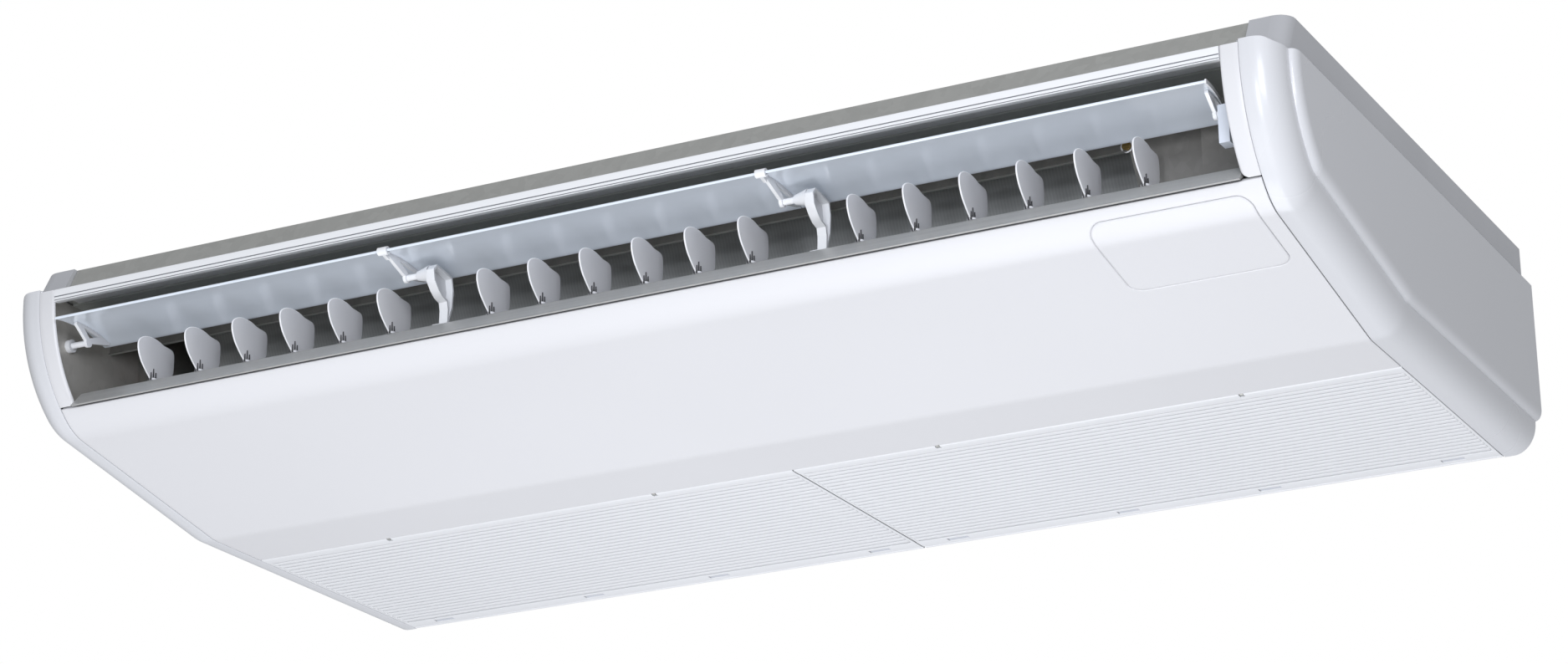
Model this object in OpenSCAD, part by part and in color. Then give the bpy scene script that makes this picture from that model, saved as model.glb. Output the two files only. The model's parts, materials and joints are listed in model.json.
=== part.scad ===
// Ceiling suspended air conditioner: a flat casing that hangs from four bolts, blows air out of
// a slot along its front edge and draws it in through two hinged grilles underneath.
// The model's frame has +X to the right seen from the front, the outlet facing -Y and +Z up.
// The origin is the centre of the four hanger slots, on the top plane.
// Every module is drawn with y counted from the nose and z counted from the top plane,
// and from_front() then moves it to the origin.

/* [Casing] */
// Overall width over the raised side faces
body_w = 1320; // [1300:10:1400]
// Overall depth from the nose to the rear plate
body_d = 690; // [685:5:720]
// Overall height from the hanger rails to the grilles
body_h = 210; // [208:1:216]
// Width of each moulded end, from its seam to the raised side face
end_w = 40.1; // [39:0.1:43]
// Radius of the curved nose, seen from the side
nose_r = 145; // [142:1:150]
// Depth below the top plane where the nose curve begins
nose_drop = 45; // [44:0.5:46]
// Radius of the chin, where the nose turns into the sloped underside
chin_r = 60; // [50:1:70]
// Angle of the sloped underside
slope_a = 10.5; // [10:0.25:11]
// Distance from the nose to the bend where the underside becomes level
bend_y = 303; // [298:1:308]
// Height of the hanger rails, down to the top edge of the moulded ends
rail_h = 40; // [39:0.5:41]
// Wall of the moulded ends
end_wall = 2.5; // [2:0.1:3]
// Wall of the front panel
panel_wall = 3; // [2.5:0.1:3.2]
// Thickness of the sheet steel plates
sheet = 1.2; // [0.8:0.1:1.5]

/* [Suspension] */
// Distance from the raised side face to the hanger bolts beside it
hang_in = 24; // [23:0.5:25]
// Pitch of the hanger bolts from front to rear
hang_pitch_y = 290; // [250:5:320]
// Distance from the nose to the front pair of bolts
hang_front = 200; // [180:5:215]
// Width of the hanger slots, for M10 bolts
slot_w = 12; // [11:0.5:13]
// Length of the hanger slots
slot_l = 22; // [18:1:24]

/* [Outlet] */
// Width of the white cheek at each end of the outlet
cheek_w = 17.4; // [16.5:0.1:18]
// Depth below the top plane of the trim along the top of the outlet
trim_drop = 38.4; // [38:0.1:38.6]
// Depth below the top plane of the front panel's top edge
mouth_drop = 145.9; // [145.5:0.1:146.5]
// Distance from the nose to the flap's axis
pivot_y = 38; // [37.5:0.25:38.5]
// Depth below the top plane of the flap's axis
pivot_drop = 84; // [83.75:0.25:84.5]
// Width of the flap, front edge to rear edge
flap_w = 82; // [78:0.5:83]
// Height of the flap's chord over its axis
flap_rise = 12.2; // [11.8:0.1:12.6]
// Thickness of the flap
flap_t = 2; // [1.6:0.1:2.4]
// Number of equal places across the outlet, eighteen for vanes and the others empty
vane_places = 22.2; // [22:0.1:22.6]
// Length of a vane along the air flow
vane_l = 62.8; // [61:0.2:63.4]
// Height of a vane above the outlet floor
vane_h = 43.5; // [42:0.5:44.5]
// Thickness of a vane
vane_t = 2.2; // [1.6:0.1:3]
// Distance from a vane's axis to its crank pin
crank_l = 38; // [37.5:0.25:38.5]

/* [Inlet] */
// Pitch of the grille slats
slat_pitch = 10; // [9:0.25:12]
// Visible width of a slat
slat_w = 5.8; // [5:0.1:6.5]
// Depth of the grille frames
grille_h = 8; // [7:0.5:8.5]

/* [Fans] */
// Outer diameter of a fan wheel
wheel_d = 146; // [130:1:150]
// Length of a fan wheel
wheel_l = 116; // [100:1:118]
// Number of blades on each wheel
wheel_blades = 24; // [18:1:30]
// Diameter of the fan shaft
shaft_d = 12; // [10:0.5:14]

/* [Connections] */
// Thread diameter of the gas pipe's flare union
gas_d = 22.2; // [18:0.1:24]
// Thread diameter of the liquid pipe's flare union
liquid_d = 15.9; // [14:0.1:17]
// Outer diameter of the drain spigot
drain_d = 26; // [24:0.5:27]

/* [Hidden] */
SECTIONS = ["left", "middle", "right"];
VANE_NODES = [for (s = SECTIONS) for (i = [1:6]) str("vane_", s, "_", i)];
BAR_NODES = [for (s = SECTIONS) str("vane_bar_", s)];

// Overrun of every cut past the face that it opens
over = 1;
// Gap between pieces that are fastened side by side
seat = 0.3;
// Radial clearance of a pin that turns in its bore
running = 0.06;

// Places shared by several pieces, y from the nose and z from the top plane
hang_y = hang_front + hang_pitch_y / 2;
side_x = body_w / 2;
seam_x = side_x - end_w;
mouth_x = seam_x - cheek_w;
hang_x = side_x - hang_in;
relief = 6;
plate_out = 10.6;
plate_x = mouth_x + plate_out;
rear_y = body_d;

// The nose, chin and bend are three arcs joined by the slope and the level underside
nose_c = [nose_r, -nose_drop];
slope_n = 90 - slope_a;
function dir(b) = [-cos(b), -sin(b)];
slope_d = ([bend_y, -body_h] - nose_c) * dir(slope_n);
chin_b = slope_n - acos((slope_d - chin_r) / (nose_r - chin_r));
chin_c = nose_c + (nose_r - chin_r) * dir(chin_b);
bend_r = 60;
bend_c = [bend_y + bend_r * tan(slope_a / 2), bend_r - body_h];
mouth_b = asin((mouth_drop - nose_drop) / nose_r);
nose_steps = 8;
chin_steps = 5;
bend_steps = 2;

// Points of the casing's profile, d inside the outer skin, from angle b0 on the nose to y_end
function edge(d, b0, y_end) = concat(
  [for (i = [0:nose_steps]) nose_c + (nose_r - d) * dir(b0 + (chin_b - b0) * i / nose_steps)],
  [for (i = [1:chin_steps]) chin_c + (chin_r - d) * dir(chin_b + (slope_n - chin_b) * i / chin_steps)],
  [for (i = [0:bend_steps]) bend_c + (bend_r - d) * dir(slope_n + slope_a * i / bend_steps)],
  [[y_end, d - body_h]]);
function flip(v) = [for (i = [len(v) - 1:-1:0]) v[i]];

// Height of the sloped underside at a distance y from the nose, d inside the outer skin
function slope_z(y, d) = -body_h + (bend_y - y) * tan(slope_a) + d / cos(slope_a);

// A smooth closed curve through a loop of points, each span cut in n parts
function spline(p, n) = [for (i = [0:len(p) - 1]) for (k = [0:n - 1])
  let (a = p[(i + len(p) - 1) % len(p)], b = p[i], c = p[(i + 1) % len(p)],
       d = p[(i + 2) % len(p)], t = k / n)
  (2 * b + (c - a) * t + (2 * a - 5 * b + 4 * c - d) * t * t
    + (3 * b - a - 3 * c + d) * t * t * t) / 2];

// Everything inside the casing's profile, d inside the outer skin
module inside(d) polygon(concat(edge(d, 0, body_d), [[body_d, 0], [d, 0]]));

module from_front() translate([0, -hang_y, 0]) children();

// Draws a profile given in y and z from x0 to x1
module along_x(x0, x1) translate([x0, 0, 0]) rotate([90, 0, 90])
  linear_extrude(height = x1 - x0) children();

// A box between two corners
module span(a, b) translate(a) cube(b - a);

// A cylinder along X from x0 to x1 with its axis at y, z
module rod_x(x0, x1, y, z, r) translate([x0, y, z]) rotate([0, 90, 0])
  cylinder(h = x1 - x0, r = r, $fn = 48);

// A cylinder along Y from y0 to y1 with its axis at x, z
module rod_y(y0, y1, x, z, r) translate([x, y0, z]) rotate([-90, 0, 0])
  cylinder(h = y1 - y0, r = r, $fn = 48);

// A cylinder along Z from z0 to z1 with its axis at x, y
module rod_z(z0, z1, x, y, r) translate([x, y, z0]) cylinder(h = z1 - z0, r = r, $fn = 48);

module on_side(side) if (side < 0) mirror([1, 0, 0]) children(); else children();

// A skin lofted through closed rings that all have as many points, seen counter-clockwise
// from the side of the last ring
module loft(rings) {
  n = len(rings[0]);
  m = len(rings);
  polyhedron(
    points = [for (r = rings) for (p = r) p],
    faces = concat(
      [[for (j = [0:n - 1]) j]],
      [for (i = [0:m - 2]) for (j = [0:n - 1])
        let (k = (j + 1) % n) for (f = [
          [i * n + j, (i + 1) * n + j, (i + 1) * n + k],
          [i * n + j, (i + 1) * n + k, i * n + k]]) f],
      [[for (j = [n - 1:-1:0]) (m - 1) * n + j]]));
}

// Moulded ends

// Rounding of the end's outer edge: half width and height of the ellipse
edge_rx = 24;
edge_ry = 30;
bevel_w = 9;
bevel_shares = [0.75, 0.6];
groove_w = 1;
edge_steps = 6;
end_top = -rail_h;
end_inner_front = 70;

// One ring of the end's skin at distance x from the centre, d inside the profile
function end_ring(x, d, top, rear) = [for (p = concat(edge(d, 0, rear), [[rear, top], [d, top]]))
  [x, p[0], p[1]]];

// Places of the rings: x and how far they lie inside the profile, w inside the outer skin
function end_rings(w) = concat(
  [[seam_x - (w > 0 ? over : 0), 0]],
  [for (i = [0:edge_steps]) let (t = 90 * i / edge_steps)
    [side_x - relief - w - edge_rx * (1 - sin(t)), edge_ry * (1 - cos(t))]]);

module side_panel(side) color("white") from_front() on_side(side) difference() {
  loft(concat(
    [for (r = end_rings(0)) end_ring(r[0], r[1], end_top, rear_y)],
    [end_ring(side_x - relief, edge_ry + groove_w, end_top, rear_y)],
    [end_ring(side_x - relief * (1 - bevel_shares[0]),
      edge_ry + groove_w + bevel_w * bevel_shares[1], end_top, rear_y)],
    [end_ring(side_x, edge_ry + groove_w + bevel_w, end_top, rear_y)]));
  loft([for (r = end_rings(end_wall))
    end_ring(r[0], r[1] + end_wall, end_top - end_wall, rear_y - end_wall)]);
  span([seam_x - over, end_inner_front, end_top - end_wall - over],
    [side_x - relief - end_wall, rear_y - end_wall, end_top + over]);
}
module side_panel_left() side_panel(-1);
module side_panel_right() side_panel(1);

// Hanger rails

rail_t = 2;
rail_web = 1.5;
rail_x0 = plate_x + sheet + seat;
rail_in = 0.5;
rail_x1 = side_x - relief - end_wall - rail_in;
rail_r = 16;
rail_front = 45.5;
rail_lean = 23;
rail_inner_h = 30;
rail_steps = 6;
slot_ys = [hang_front, hang_front + hang_pitch_y];

// Plan of the rail at height z, w inside its outer faces
function rail_ring(z, w, rear) =
  let (f = rail_front + rail_lean * z / rail_h + w, x1 = rail_x1 - w, r = rail_r - w)
  concat([[rail_x0 + w, f, z]],
    [for (i = [0:rail_steps]) let (t = 90 * i / rail_steps)
      [x1 - r + r * sin(t), f + r - r * cos(t), z]],
    [[x1, rear, z], [rail_x0 + w, rear, z]]);

module hanger_rail(side) color("gainsboro") from_front() on_side(side) difference() {
  loft([rail_ring(seat - rail_h, 0, rear_y - seat), rail_ring(0, 0, rear_y - seat)]);
  loft([rail_ring(-rail_h - over, rail_web, rear_y + over),
    rail_ring(-rail_t, rail_web, rear_y + over)]);
  span([rail_x0 - over, rail_front + rail_r, -rail_h - over],
    [rail_x0 + rail_web + over, rear_y + over, -rail_inner_h]);
  for (y = slot_ys) {
    for (s = [-1, 1])
      rod_z(-rail_t - over, over, hang_x + s * (slot_l - slot_w) / 2, y, slot_w / 2);
    span([hang_x - (slot_l - slot_w) / 2, y - slot_w / 2, -rail_t - over],
      [hang_x + (slot_l - slot_w) / 2, y + slot_w / 2, over]);
  }
}
module hanger_rail_left() hanger_rail(-1);
module hanger_rail_right() hanger_rail(1);

// Sheet steel casing

fascia_y = 50.4;
fascia_foot = 30.1;
fascia_return = 12;
top_x = rail_x0 - seat;

module top_plate() color("darkgray") from_front() along_x(-top_x, top_x) polygon([
  [fascia_foot, -trim_drop + seat], [fascia_y, 0], [rear_y - sheet - seat, 0],
  [rear_y - sheet - seat, -sheet], [fascia_y + sheet, -sheet],
  [fascia_foot + 2 * sheet, -trim_drop + seat + sheet],
  [fascia_foot + fascia_return, -trim_drop + seat + sheet],
  [fascia_foot + fascia_return, -trim_drop + seat]]);

plate_front = 62;
plate_top = -sheet - seat;
plate_gap = 3;
plate_foot = -body_h + grille_h + plate_gap;

module side_plates() color("silver") from_front() for (side = [-1, 1]) on_side(side)
  intersection() {
    along_x(plate_x, plate_x + sheet) inside(panel_wall * 1.5);
    span([0, plate_front, plate_foot], [side_x, rear_y - sheet - seat, plate_top]);
  }

// Opening in the rear plate for the pipes
port_in = 11;
port_w = 87;
port_x1 = plate_x - port_in;
port_top = -112;
ledge_w = 11;

module rear_plate() color("silver") from_front() difference() {
  union() {
    span([-top_x, rear_y - sheet, plate_foot], [top_x, rear_y, 0]);
    span([-panel_x, rear_y - sheet, plate_foot], [panel_x, rear_y, -rail_h - seat]);
    span([-plate_x, rear_y - sheet - ledge_w, plate_foot],
      [plate_x, rear_y - sheet, plate_foot + sheet]);
  }
  span([port_x1 - port_w, rear_y - sheet - ledge_w - over, plate_foot - over],
    [port_x1, rear_y + over, port_top]);
}

// Front panel and the flush cover of its receiver window

panel_x = seam_x - seat;
panel_end = 385.2;
panel_flange_in = 0.5;
window_in = 16.4;
window_w = 148.5;
window_x1 = seam_x - window_in;
window_x0 = window_x1 - window_w;
window_y0 = 51;
window_y1 = 155;
window_r = 13;
window_gap = 0.5;
cover_t = 1.6;
ledge_in = 4;

// Skin between the depths d0 and d1 from angle b0 on the nose to y_end
module band(d0, d1, b0, y_end) polygon(concat(edge(d0, b0, y_end), flip(edge(d1, b0, y_end))));

// Upright prism over the window's plan, grown by g, with rounded corners
module window_prism(g) {
  r = window_r + g;
  for (x = [window_x0 + window_r, window_x1 - window_r])
    for (y = [window_y0 + window_r, window_y1 - window_r])
      rod_z(-body_h, -nose_drop, x, y, r);
  span([window_x0 - g, window_y0 + window_r, -body_h],
    [window_x1 + g, window_y1 - window_r, -nose_drop]);
  span([window_x0 + window_r, window_y0 - g, -body_h],
    [window_x1 - window_r, window_y1 + g, -nose_drop]);
}

module front_panel() color("white") from_front() {
  difference() {
    along_x(-panel_x, panel_x) band(0, panel_wall, mouth_b, panel_end);
    intersection() {
      along_x(window_x0 - over, window_x1 + over)
        band(-over, cover_t + window_gap, mouth_b / 2, panel_end);
      window_prism(window_gap);
    }
    window_prism(-ledge_in);
  }
  span([-panel_x, panel_end - panel_wall, -body_h + panel_wall - panel_flange_in],
    [panel_x, panel_end, plate_foot - seat]);
}

module receiver_cover() color("white") from_front() intersection() {
  along_x(window_x0, window_x1) band(0, cover_t, mouth_b, panel_end);
  window_prism(0);
}

// Outlet trim, cheeks, lip and duct

trim_x = mouth_x - seat;
trim_t = 1.6;
trim_back = 39.7;
trim_band = 7.1;
trim_groove = 0.8;
trim_bead = 1.6;
trim_lip = 12.6;
trim_curl = 16;
trim_curl_h = 9;
trim_steps = 6;
trim_g0 = -trim_drop - trim_band;
trim_g1 = trim_g0 - 3 * trim_groove - trim_bead;

// Front band, two fine grooves with a bead between them, and a lip that curls back and up
module outlet_trim() color("white") from_front() along_x(-trim_x, trim_x) polygon(concat(
  [[0, -trim_drop], [0, trim_g0], [trim_groove, trim_g0 - trim_groove / 2],
    [0, trim_g0 - 1.5 * trim_groove], [0, trim_g1 + trim_groove / 2],
    [trim_groove, trim_g1], [0, trim_g1 - trim_groove / 2]],
  [for (i = [0:trim_steps]) let (t = 90 * i / trim_steps)
    [trim_groove + trim_curl * sin(t),
      -trim_drop - trim_lip + trim_curl_h * (1 - cos(t))]],
  [[trim_groove + trim_curl, -trim_drop - trim_t], [trim_back, -trim_drop - trim_t],
    [trim_back, -trim_drop]]));

cheek_t = 3;
cheek_web = 2.5;
cheek_back = 60;
cheek_gap = 0.6;
cheek_top = -trim_drop - seat;
far = 2 * nose_r;

// The cheek's foot is cut along the same radius of the nose as the panel's top edge
module outlet_cheek(side) color("white") from_front() on_side(side) intersection() {
  union() {
    along_x(mouth_x, seam_x - seat) difference() {
      inside(0);
      inside(cheek_t);
    }
    along_x(seam_x - seat - cheek_web, seam_x - seat) difference() {
      inside(cheek_t / 2);
      translate([pivot_y, -pivot_drop]) circle(r = flap_motor_r + over, $fn = 48);
    }
  }
  along_x(0, side_x) polygon([nose_c, nose_c + far * dir(-45),
    nose_c + far * dir(mouth_b - asin(cheek_gap / nose_r))]);
  span([0, 0, -body_h], [side_x, cheek_back, cheek_top]);
}
module outlet_cheek_left() outlet_cheek(-1);
module outlet_cheek_right() outlet_cheek(1);

floor_drop = 130;
floor_t = 7.6;
lip_y0 = 33;
lip_y1 = 50;
lip_drop = 147.2;
lip_foot_w = 3.5;
duct_end = 152;
roof_gap = 2.2;
roof_t = 9.6;
duct_roof = trim_drop + roof_gap;
wall_t = 1.8;
wall_x = plate_x - seat - wall_t;

// Places of the eighteen vanes, in three groups of six with an empty place between groups
vane_pitch = 2 * mouth_x / vane_places;
vane_shift = 5.5;
vane_share = [for (s = [-1, 0, 1]) for (i = [0:5]) 7 * s + i - 2.5];
vane_x = [for (v = vane_share) v * vane_pitch - vane_shift];
vane_back = 16;
vane_y = pivot_y + vane_back;
foot_r = 3;

module outlet_lip() color("silver") from_front() difference() {
  union() {
    along_x(-trim_x, trim_x) polygon([
      [lip_y0, -lip_drop], [lip_y1, -floor_drop], [lip_y1 + floor_t, -floor_drop],
      [lip_y1 + floor_t, -floor_drop - floor_t], [lip_y1, -floor_drop - floor_t],
      [lip_y0 + lip_foot_w, -lip_drop]]);
    span([seat - wall_x, lip_y1, -floor_drop - floor_t], [wall_x - seat, duct_end, -floor_drop]);
  }
  for (x = vane_x)
    rod_z(-floor_drop - floor_t - over, -floor_drop + over, x, vane_y, foot_r + running);
}

motor_shaft_r = 2.5;
motor_hole_r = 9;
guide_y = 104;
guide_t = 1.2;
guide_foot = 32;
guide_fold = 2.5;
end_plate_in = 133.5;
end_plate_lean = 11;
end_plate_x = wall_x - end_plate_in;
end_plate_top = -duct_roof - guide_foot;
tab_in = 2.5;
tab_x = end_plate_x - tab_in;
tab_r = 6;
tab_z = end_plate_top + tab_r - guide_t / 2;
flare_shares = [[0.5, 0], [0.72, 0.1], [0.87, 0.38], [1, 1]];
flare_d = 24;
flat_share = 0.51;

// Plan of the plate that closes the outlet's right-hand end and flares forward to the wall
function flare(w) = [for (p = flare_shares)
  [end_plate_x + p[0] * end_plate_in, guide_y + w - p[1] * flare_d]];

// Roof, side walls, a guide that hangs behind the vanes and the plate at the right-hand end
module outlet_duct() color("dimgray") from_front() difference() {
  union() {
    span([-wall_x - wall_t, fascia_foot + fascia_return + seat, -duct_roof],
      [wall_x + wall_t, duct_end, -duct_roof + roof_t]);
    for (side = [-1, 1]) on_side(side) intersection() {
      along_x(wall_x, wall_x + wall_t) inside(cheek_t + seat);
      span([0, 0, -floor_drop - floor_t], [side_x, duct_end, -duct_roof]);
    }
    span([-wall_x, guide_y, end_plate_top], [end_plate_x, guide_y + guide_t, -duct_roof]);
    span([-wall_x, guide_y - guide_fold, end_plate_top],
      [tab_x, guide_y + guide_t, end_plate_top + guide_t]);
    translate([0, guide_y + guide_t, 0]) rotate([90, 0, 0]) linear_extrude(height = guide_t)
      polygon([[end_plate_x, -duct_roof], [end_plate_x, end_plate_top],
        [end_plate_x + end_plate_lean, -floor_drop + seat],
        [end_plate_x + end_plate_in * flat_share, -floor_drop + seat],
        [end_plate_x + end_plate_in * flat_share, -duct_roof]]);
    translate([0, 0, -floor_drop + seat])
      linear_extrude(height = floor_drop - seat - duct_roof)
        polygon(concat(flare(0), flip(flare(guide_t))));
    rod_y(guide_y, guide_y + guide_t, tab_x, tab_z, tab_r);
  }
  rod_x(wall_x - over, wall_x + wall_t + over, pivot_y, -pivot_drop, motor_hole_r);
  rod_y(guide_y - over, guide_y + guide_t + over, tab_x, tab_z, screw_r + running);
}

// The flap: three curved blades on four arms that turn together

flap_tilt = -3.5;
flap_front = 43.1;
flap_r = 170;
bead_r = 1.8;
support_out = 7;
support_x = 3.5 * vane_pitch + support_out;
arm_back = 26.5;
arm_t = 3.3;
joint_gap = 1;
flap_in_left = 5.7;
flap_in_right = 12.5;
flap_x0 = -mouth_x + flap_in_left;
flap_x1 = mouth_x - flap_in_right;
flap_slant = 9.5;
flap_rim = 1.5;
arm_xs = [-support_x - arm_back, support_x - arm_back];
flap_mid = flap_w / 2 - flap_front;
flap_cn = flap_rise - sqrt(flap_r * flap_r - flap_w * flap_w / 4);

// Children are drawn in the flap's own frame: first along the chord, then away from the axis
module in_flap(x0, x1) along_x(x0, x1) translate([pivot_y, -pivot_drop]) rotate(flap_tilt) children();

// The part of a ring between two radii about the centre of the blade's curve, from u0 to u1
module flap_ring(x0, x1, r0, r1, u0, u1) intersection() {
  difference() {
    in_flap(x0, x1) translate([flap_mid, flap_cn]) circle(r = r1, $fn = 180);
    in_flap(x0 - over, x1 + over) translate([flap_mid, flap_cn]) circle(r = r0, $fn = 180);
  }
  in_flap(x0 - over, x1 + over) translate([u0, 0]) square([u1 - u0, flap_r / 3]);
}

module flap_bead(x0, x1, r) in_flap(x0, x1)
  translate([bead_r - flap_front, flap_rise - bead_r / 2]) circle(r = r, $fn = 32);

module flap_blade(x0, x1) {
  flap_ring(x0, x1, flap_r - flap_t, flap_r, bead_r - flap_front, flap_w - flap_front);
  flap_bead(x0, x1, bead_r);
}
module flap_left() color("lightsteelblue") from_front()
  flap_blade(flap_x0, arm_xs[0] - joint_gap / 2);
module flap_middle() color("lightsteelblue") from_front()
  flap_blade(arm_xs[0] + joint_gap / 2, arm_xs[1] - joint_gap / 2);

// Everything left of the slanting end of the right-hand blade, moved by g along X
module left_of_slant(g) translate([0, 0, -body_h]) linear_extrude(height = body_h)
  polygon([[0, 0], [flap_x1 + g, 0], [flap_x1 - flap_slant + g, flap_w], [0, flap_w]]);
module flap_right() color("lightsteelblue") from_front() intersection() {
  flap_blade(arm_xs[1] + joint_gap / 2, flap_x1);
  translate([0, pivot_y - flap_front, 0]) left_of_slant(0);
}

hub_r = 4.6;
pin_r = 3;
arm_rear = 32;
arm_rib = 2.6;
arm_foot_share = 0.7;
arm_web_share = 0.5;
arm_steps = 12;
arm_gap = 0.15;
clip_r = 4;
clip_l = 10;
boss_l = 12;
boss_gap = 1.5;
boss_r = 4.5;
end_arm_back = 7;
end_arm_x = [flap_x0 + end_arm_back, flap_x1 - flap_slant + joint_gap];
cap_t = 1;
coupler_gap = 1.5;
coupler_in = 15.4;
coupler_l = 9.8;
coupler_x = mouth_x - coupler_in;
coupler_half = 7;
coupler_up = 6;
coupler_down = 29;

// Points of the blade's section at u along the chord: below its underside, or above its top
function under(u, drop) = [u, flap_cn + sqrt(pow(flap_r - flap_t - drop, 2) - pow(u - flap_mid, 2))];
function above(u, rise) = [u, flap_cn + sqrt(pow(flap_r + rise, 2) - pow(u - flap_mid, 2))];
function steps(a, b) = [for (k = [0:arm_steps]) a + (b - a) * k / arm_steps];

// One arm: a rib that follows the blade's underside, on a forked web that carries the hub
module flap_arm(x, front) {
  in_flap(x, x + arm_t) difference() {
    polygon(concat([for (u = steps(front, arm_rear)) under(u, arm_gap)],
      [under(arm_rear, arm_rib), [hub_r * arm_foot_share, 0], [-hub_r * arm_foot_share, 0],
        under(front, arm_rib)]));
    polygon([[0, hub_r], under(front * arm_web_share, arm_rib),
      under(arm_rear * arm_web_share, arm_rib)]);
  }
  rod_x(x, x + arm_t, pivot_y, -pivot_drop, hub_r);
}

// A clip that holds the front beads of two blades end to end
module flap_clip(x) in_flap(x - clip_l / 2, x + clip_l / 2) difference() {
  translate([bead_r - flap_front, flap_rise - bead_r / 2]) circle(r = clip_r, $fn = 32);
  translate([bead_r - flap_front, flap_rise - bead_r / 2]) circle(r = bead_r + arm_gap, $fn = 32);
  polygon(concat([for (u = steps(-flap_front, 0)) above(u, arm_gap)],
    flip([for (u = steps(-flap_front, 0)) under(u, arm_gap)])));
}

// Where each arm's axle pin ends: the fixed bosses stand beside the arms
boss_x = [for (s = [-1, 1]) s * support_x - boss_l - boss_gap];
bearing_l = 5;

module flap_arms() color("white") from_front() {
  for (i = [0, 1]) {
    flap_arm(arm_xs[i] - arm_t / 2, 2 * clip_r - flap_front);
    flap_clip(arm_xs[i]);
    in_flap(arm_xs[i] - arm_t / 2, arm_xs[i] + arm_t / 2) polygon([
      [-flap_front, flap_rise - clip_r], [clip_l - flap_front, flap_rise - clip_r - arm_rib],
      [clip_l - flap_front, flap_rise - flap_t], [-flap_front, flap_rise - flap_t - arm_gap * 2]]);
    rod_x(arm_xs[i], boss_x[i] + boss_l - support_web, pivot_y, -pivot_drop, pin_r);
  }
  for (x = end_arm_x) flap_arm(x, -flap_front / 2);
  rod_x(-wall_x + seat, end_arm_x[0] + arm_t / 2, pivot_y, -pivot_drop, pin_r);
  rod_x(end_arm_x[1] + arm_t / 2, coupler_x - arm_gap, pivot_y, -pivot_drop, pin_r);
  difference() {
    flap_ring(flap_x1 - flap_slant, flap_x1 + flap_rim, flap_r - flap_t - cap_t, flap_r + cap_t,
      -flap_front, flap_w - flap_front + cap_t);
    translate([0, pivot_y - flap_front, 0]) left_of_slant(arm_gap);
    translate([2 * flap_x1 - flap_slant + flap_rim + arm_gap, pivot_y + flap_w - flap_front, 0])
      rotate(180) left_of_slant(0);
  }
}

// The motor's shaft turns the flap through a block beside the right-hand arm
module flap_coupler() color("lightblue") from_front() difference() {
  span([coupler_x, pivot_y - coupler_half, -pivot_drop - coupler_down],
    [coupler_x + coupler_l, pivot_y + coupler_half, -pivot_drop + coupler_up]);
  rod_x(coupler_x + coupler_gap, side_x, pivot_y, -pivot_drop, motor_shaft_r + running);
}

support_w = 8;
support_web = 2;
support_boss_r = 8;
support_foot_w = 12;

// Outline of a support from its foot up the front, round the boss and down the rear, counted
// from the vanes' axis and the floor in shares of the height from the floor to the flap's axis
support_shares = [[0.02, 0], [0.04, 0.32], [0, 0.48], [-0.18, 0.53], [-0.32, 0.63], [-0.48, 0.8],
  [-0.52, 1.02], [-0.4, 1.15], [-0.15, 1.12], [0.2, 1.06], [0.26, 0.78], [0.22, 0.4],
  [0.1, 0.1], [0.1, 0]];
support_points = [for (p = support_shares)
  [vane_y + p[0] * (floor_drop - pivot_drop), p[1] * (floor_drop - pivot_drop) - floor_drop]];

module flap_supports() color("gainsboro") from_front() {
  for (s = [-1, 1]) difference() {
    union() {
      along_x(s * support_x - support_web / 2, s * support_x + support_w) polygon(support_points);
      translate([s * support_x - boss_l - boss_gap, pivot_y, -pivot_drop]) rotate([0, 90, 0])
        cylinder(h = boss_l + boss_gap, r1 = boss_r, r2 = support_boss_r, $fn = 48);
      span([s * support_x - support_w, vane_y, -floor_drop],
        [s * support_x + support_w, vane_y + support_foot_w, -floor_drop + support_web]);
    }
    along_x(s * support_x + support_web / 2, s * support_x + support_w + over)
      offset(delta = -support_web) polygon(support_points);
    rod_x(s * support_x - boss_l - boss_gap - over, s * support_x - support_web,
      pivot_y, -pivot_drop, pin_r + running);
  }
  difference() {
    rod_x(-wall_x, -wall_x + bearing_l, pivot_y, -pivot_drop, hub_r * 1.4);
    rod_x(-wall_x - over, -wall_x + bearing_l + over, pivot_y, -pivot_drop, pin_r + running);
  }
}

flap_motor_r = 14;
flap_motor_l = 19;
motor_x0 = plate_x + seat;
ear_r = 4;
ear_pitch = 35;

module flap_motor() color("silver") from_front() {
  rod_x(motor_x0, motor_x0 + flap_motor_l, pivot_y, -pivot_drop, flap_motor_r);
  difference() {
    union() {
      for (s = [-1, 1])
        rod_x(motor_x0, motor_x0 + sheet, pivot_y, -pivot_drop + s * ear_pitch / 2, ear_r);
      span([motor_x0, pivot_y - ear_r, -pivot_drop - ear_pitch / 2],
        [motor_x0 + sheet, pivot_y + ear_r, -pivot_drop + ear_pitch / 2]);
    }
    for (s = [-1, 1]) rod_x(motor_x0 - over, motor_x0 + sheet + over, pivot_y,
      -pivot_drop + s * ear_pitch / 2, ear_r / 2);
  }
  rod_x(coupler_x + 2 * coupler_gap, motor_x0 + seat, pivot_y, -pivot_drop, motor_shaft_r);
}

// Upright vanes and the bars that link them

vane_front_share = 0.415;
vane_y0 = vane_y - vane_front_share * vane_l;
collar_r = 4.5;
collar_h = 2;
crank_y = vane_y + crank_l;
crank_pin_r = 1.5;
lug_r = 3.2;
lug_h = 3.5;
lug_l = 26;
bar_w = 6;
bar_t = 3;
bar_up = 6;
bar_z = -floor_drop + bar_up;

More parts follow.
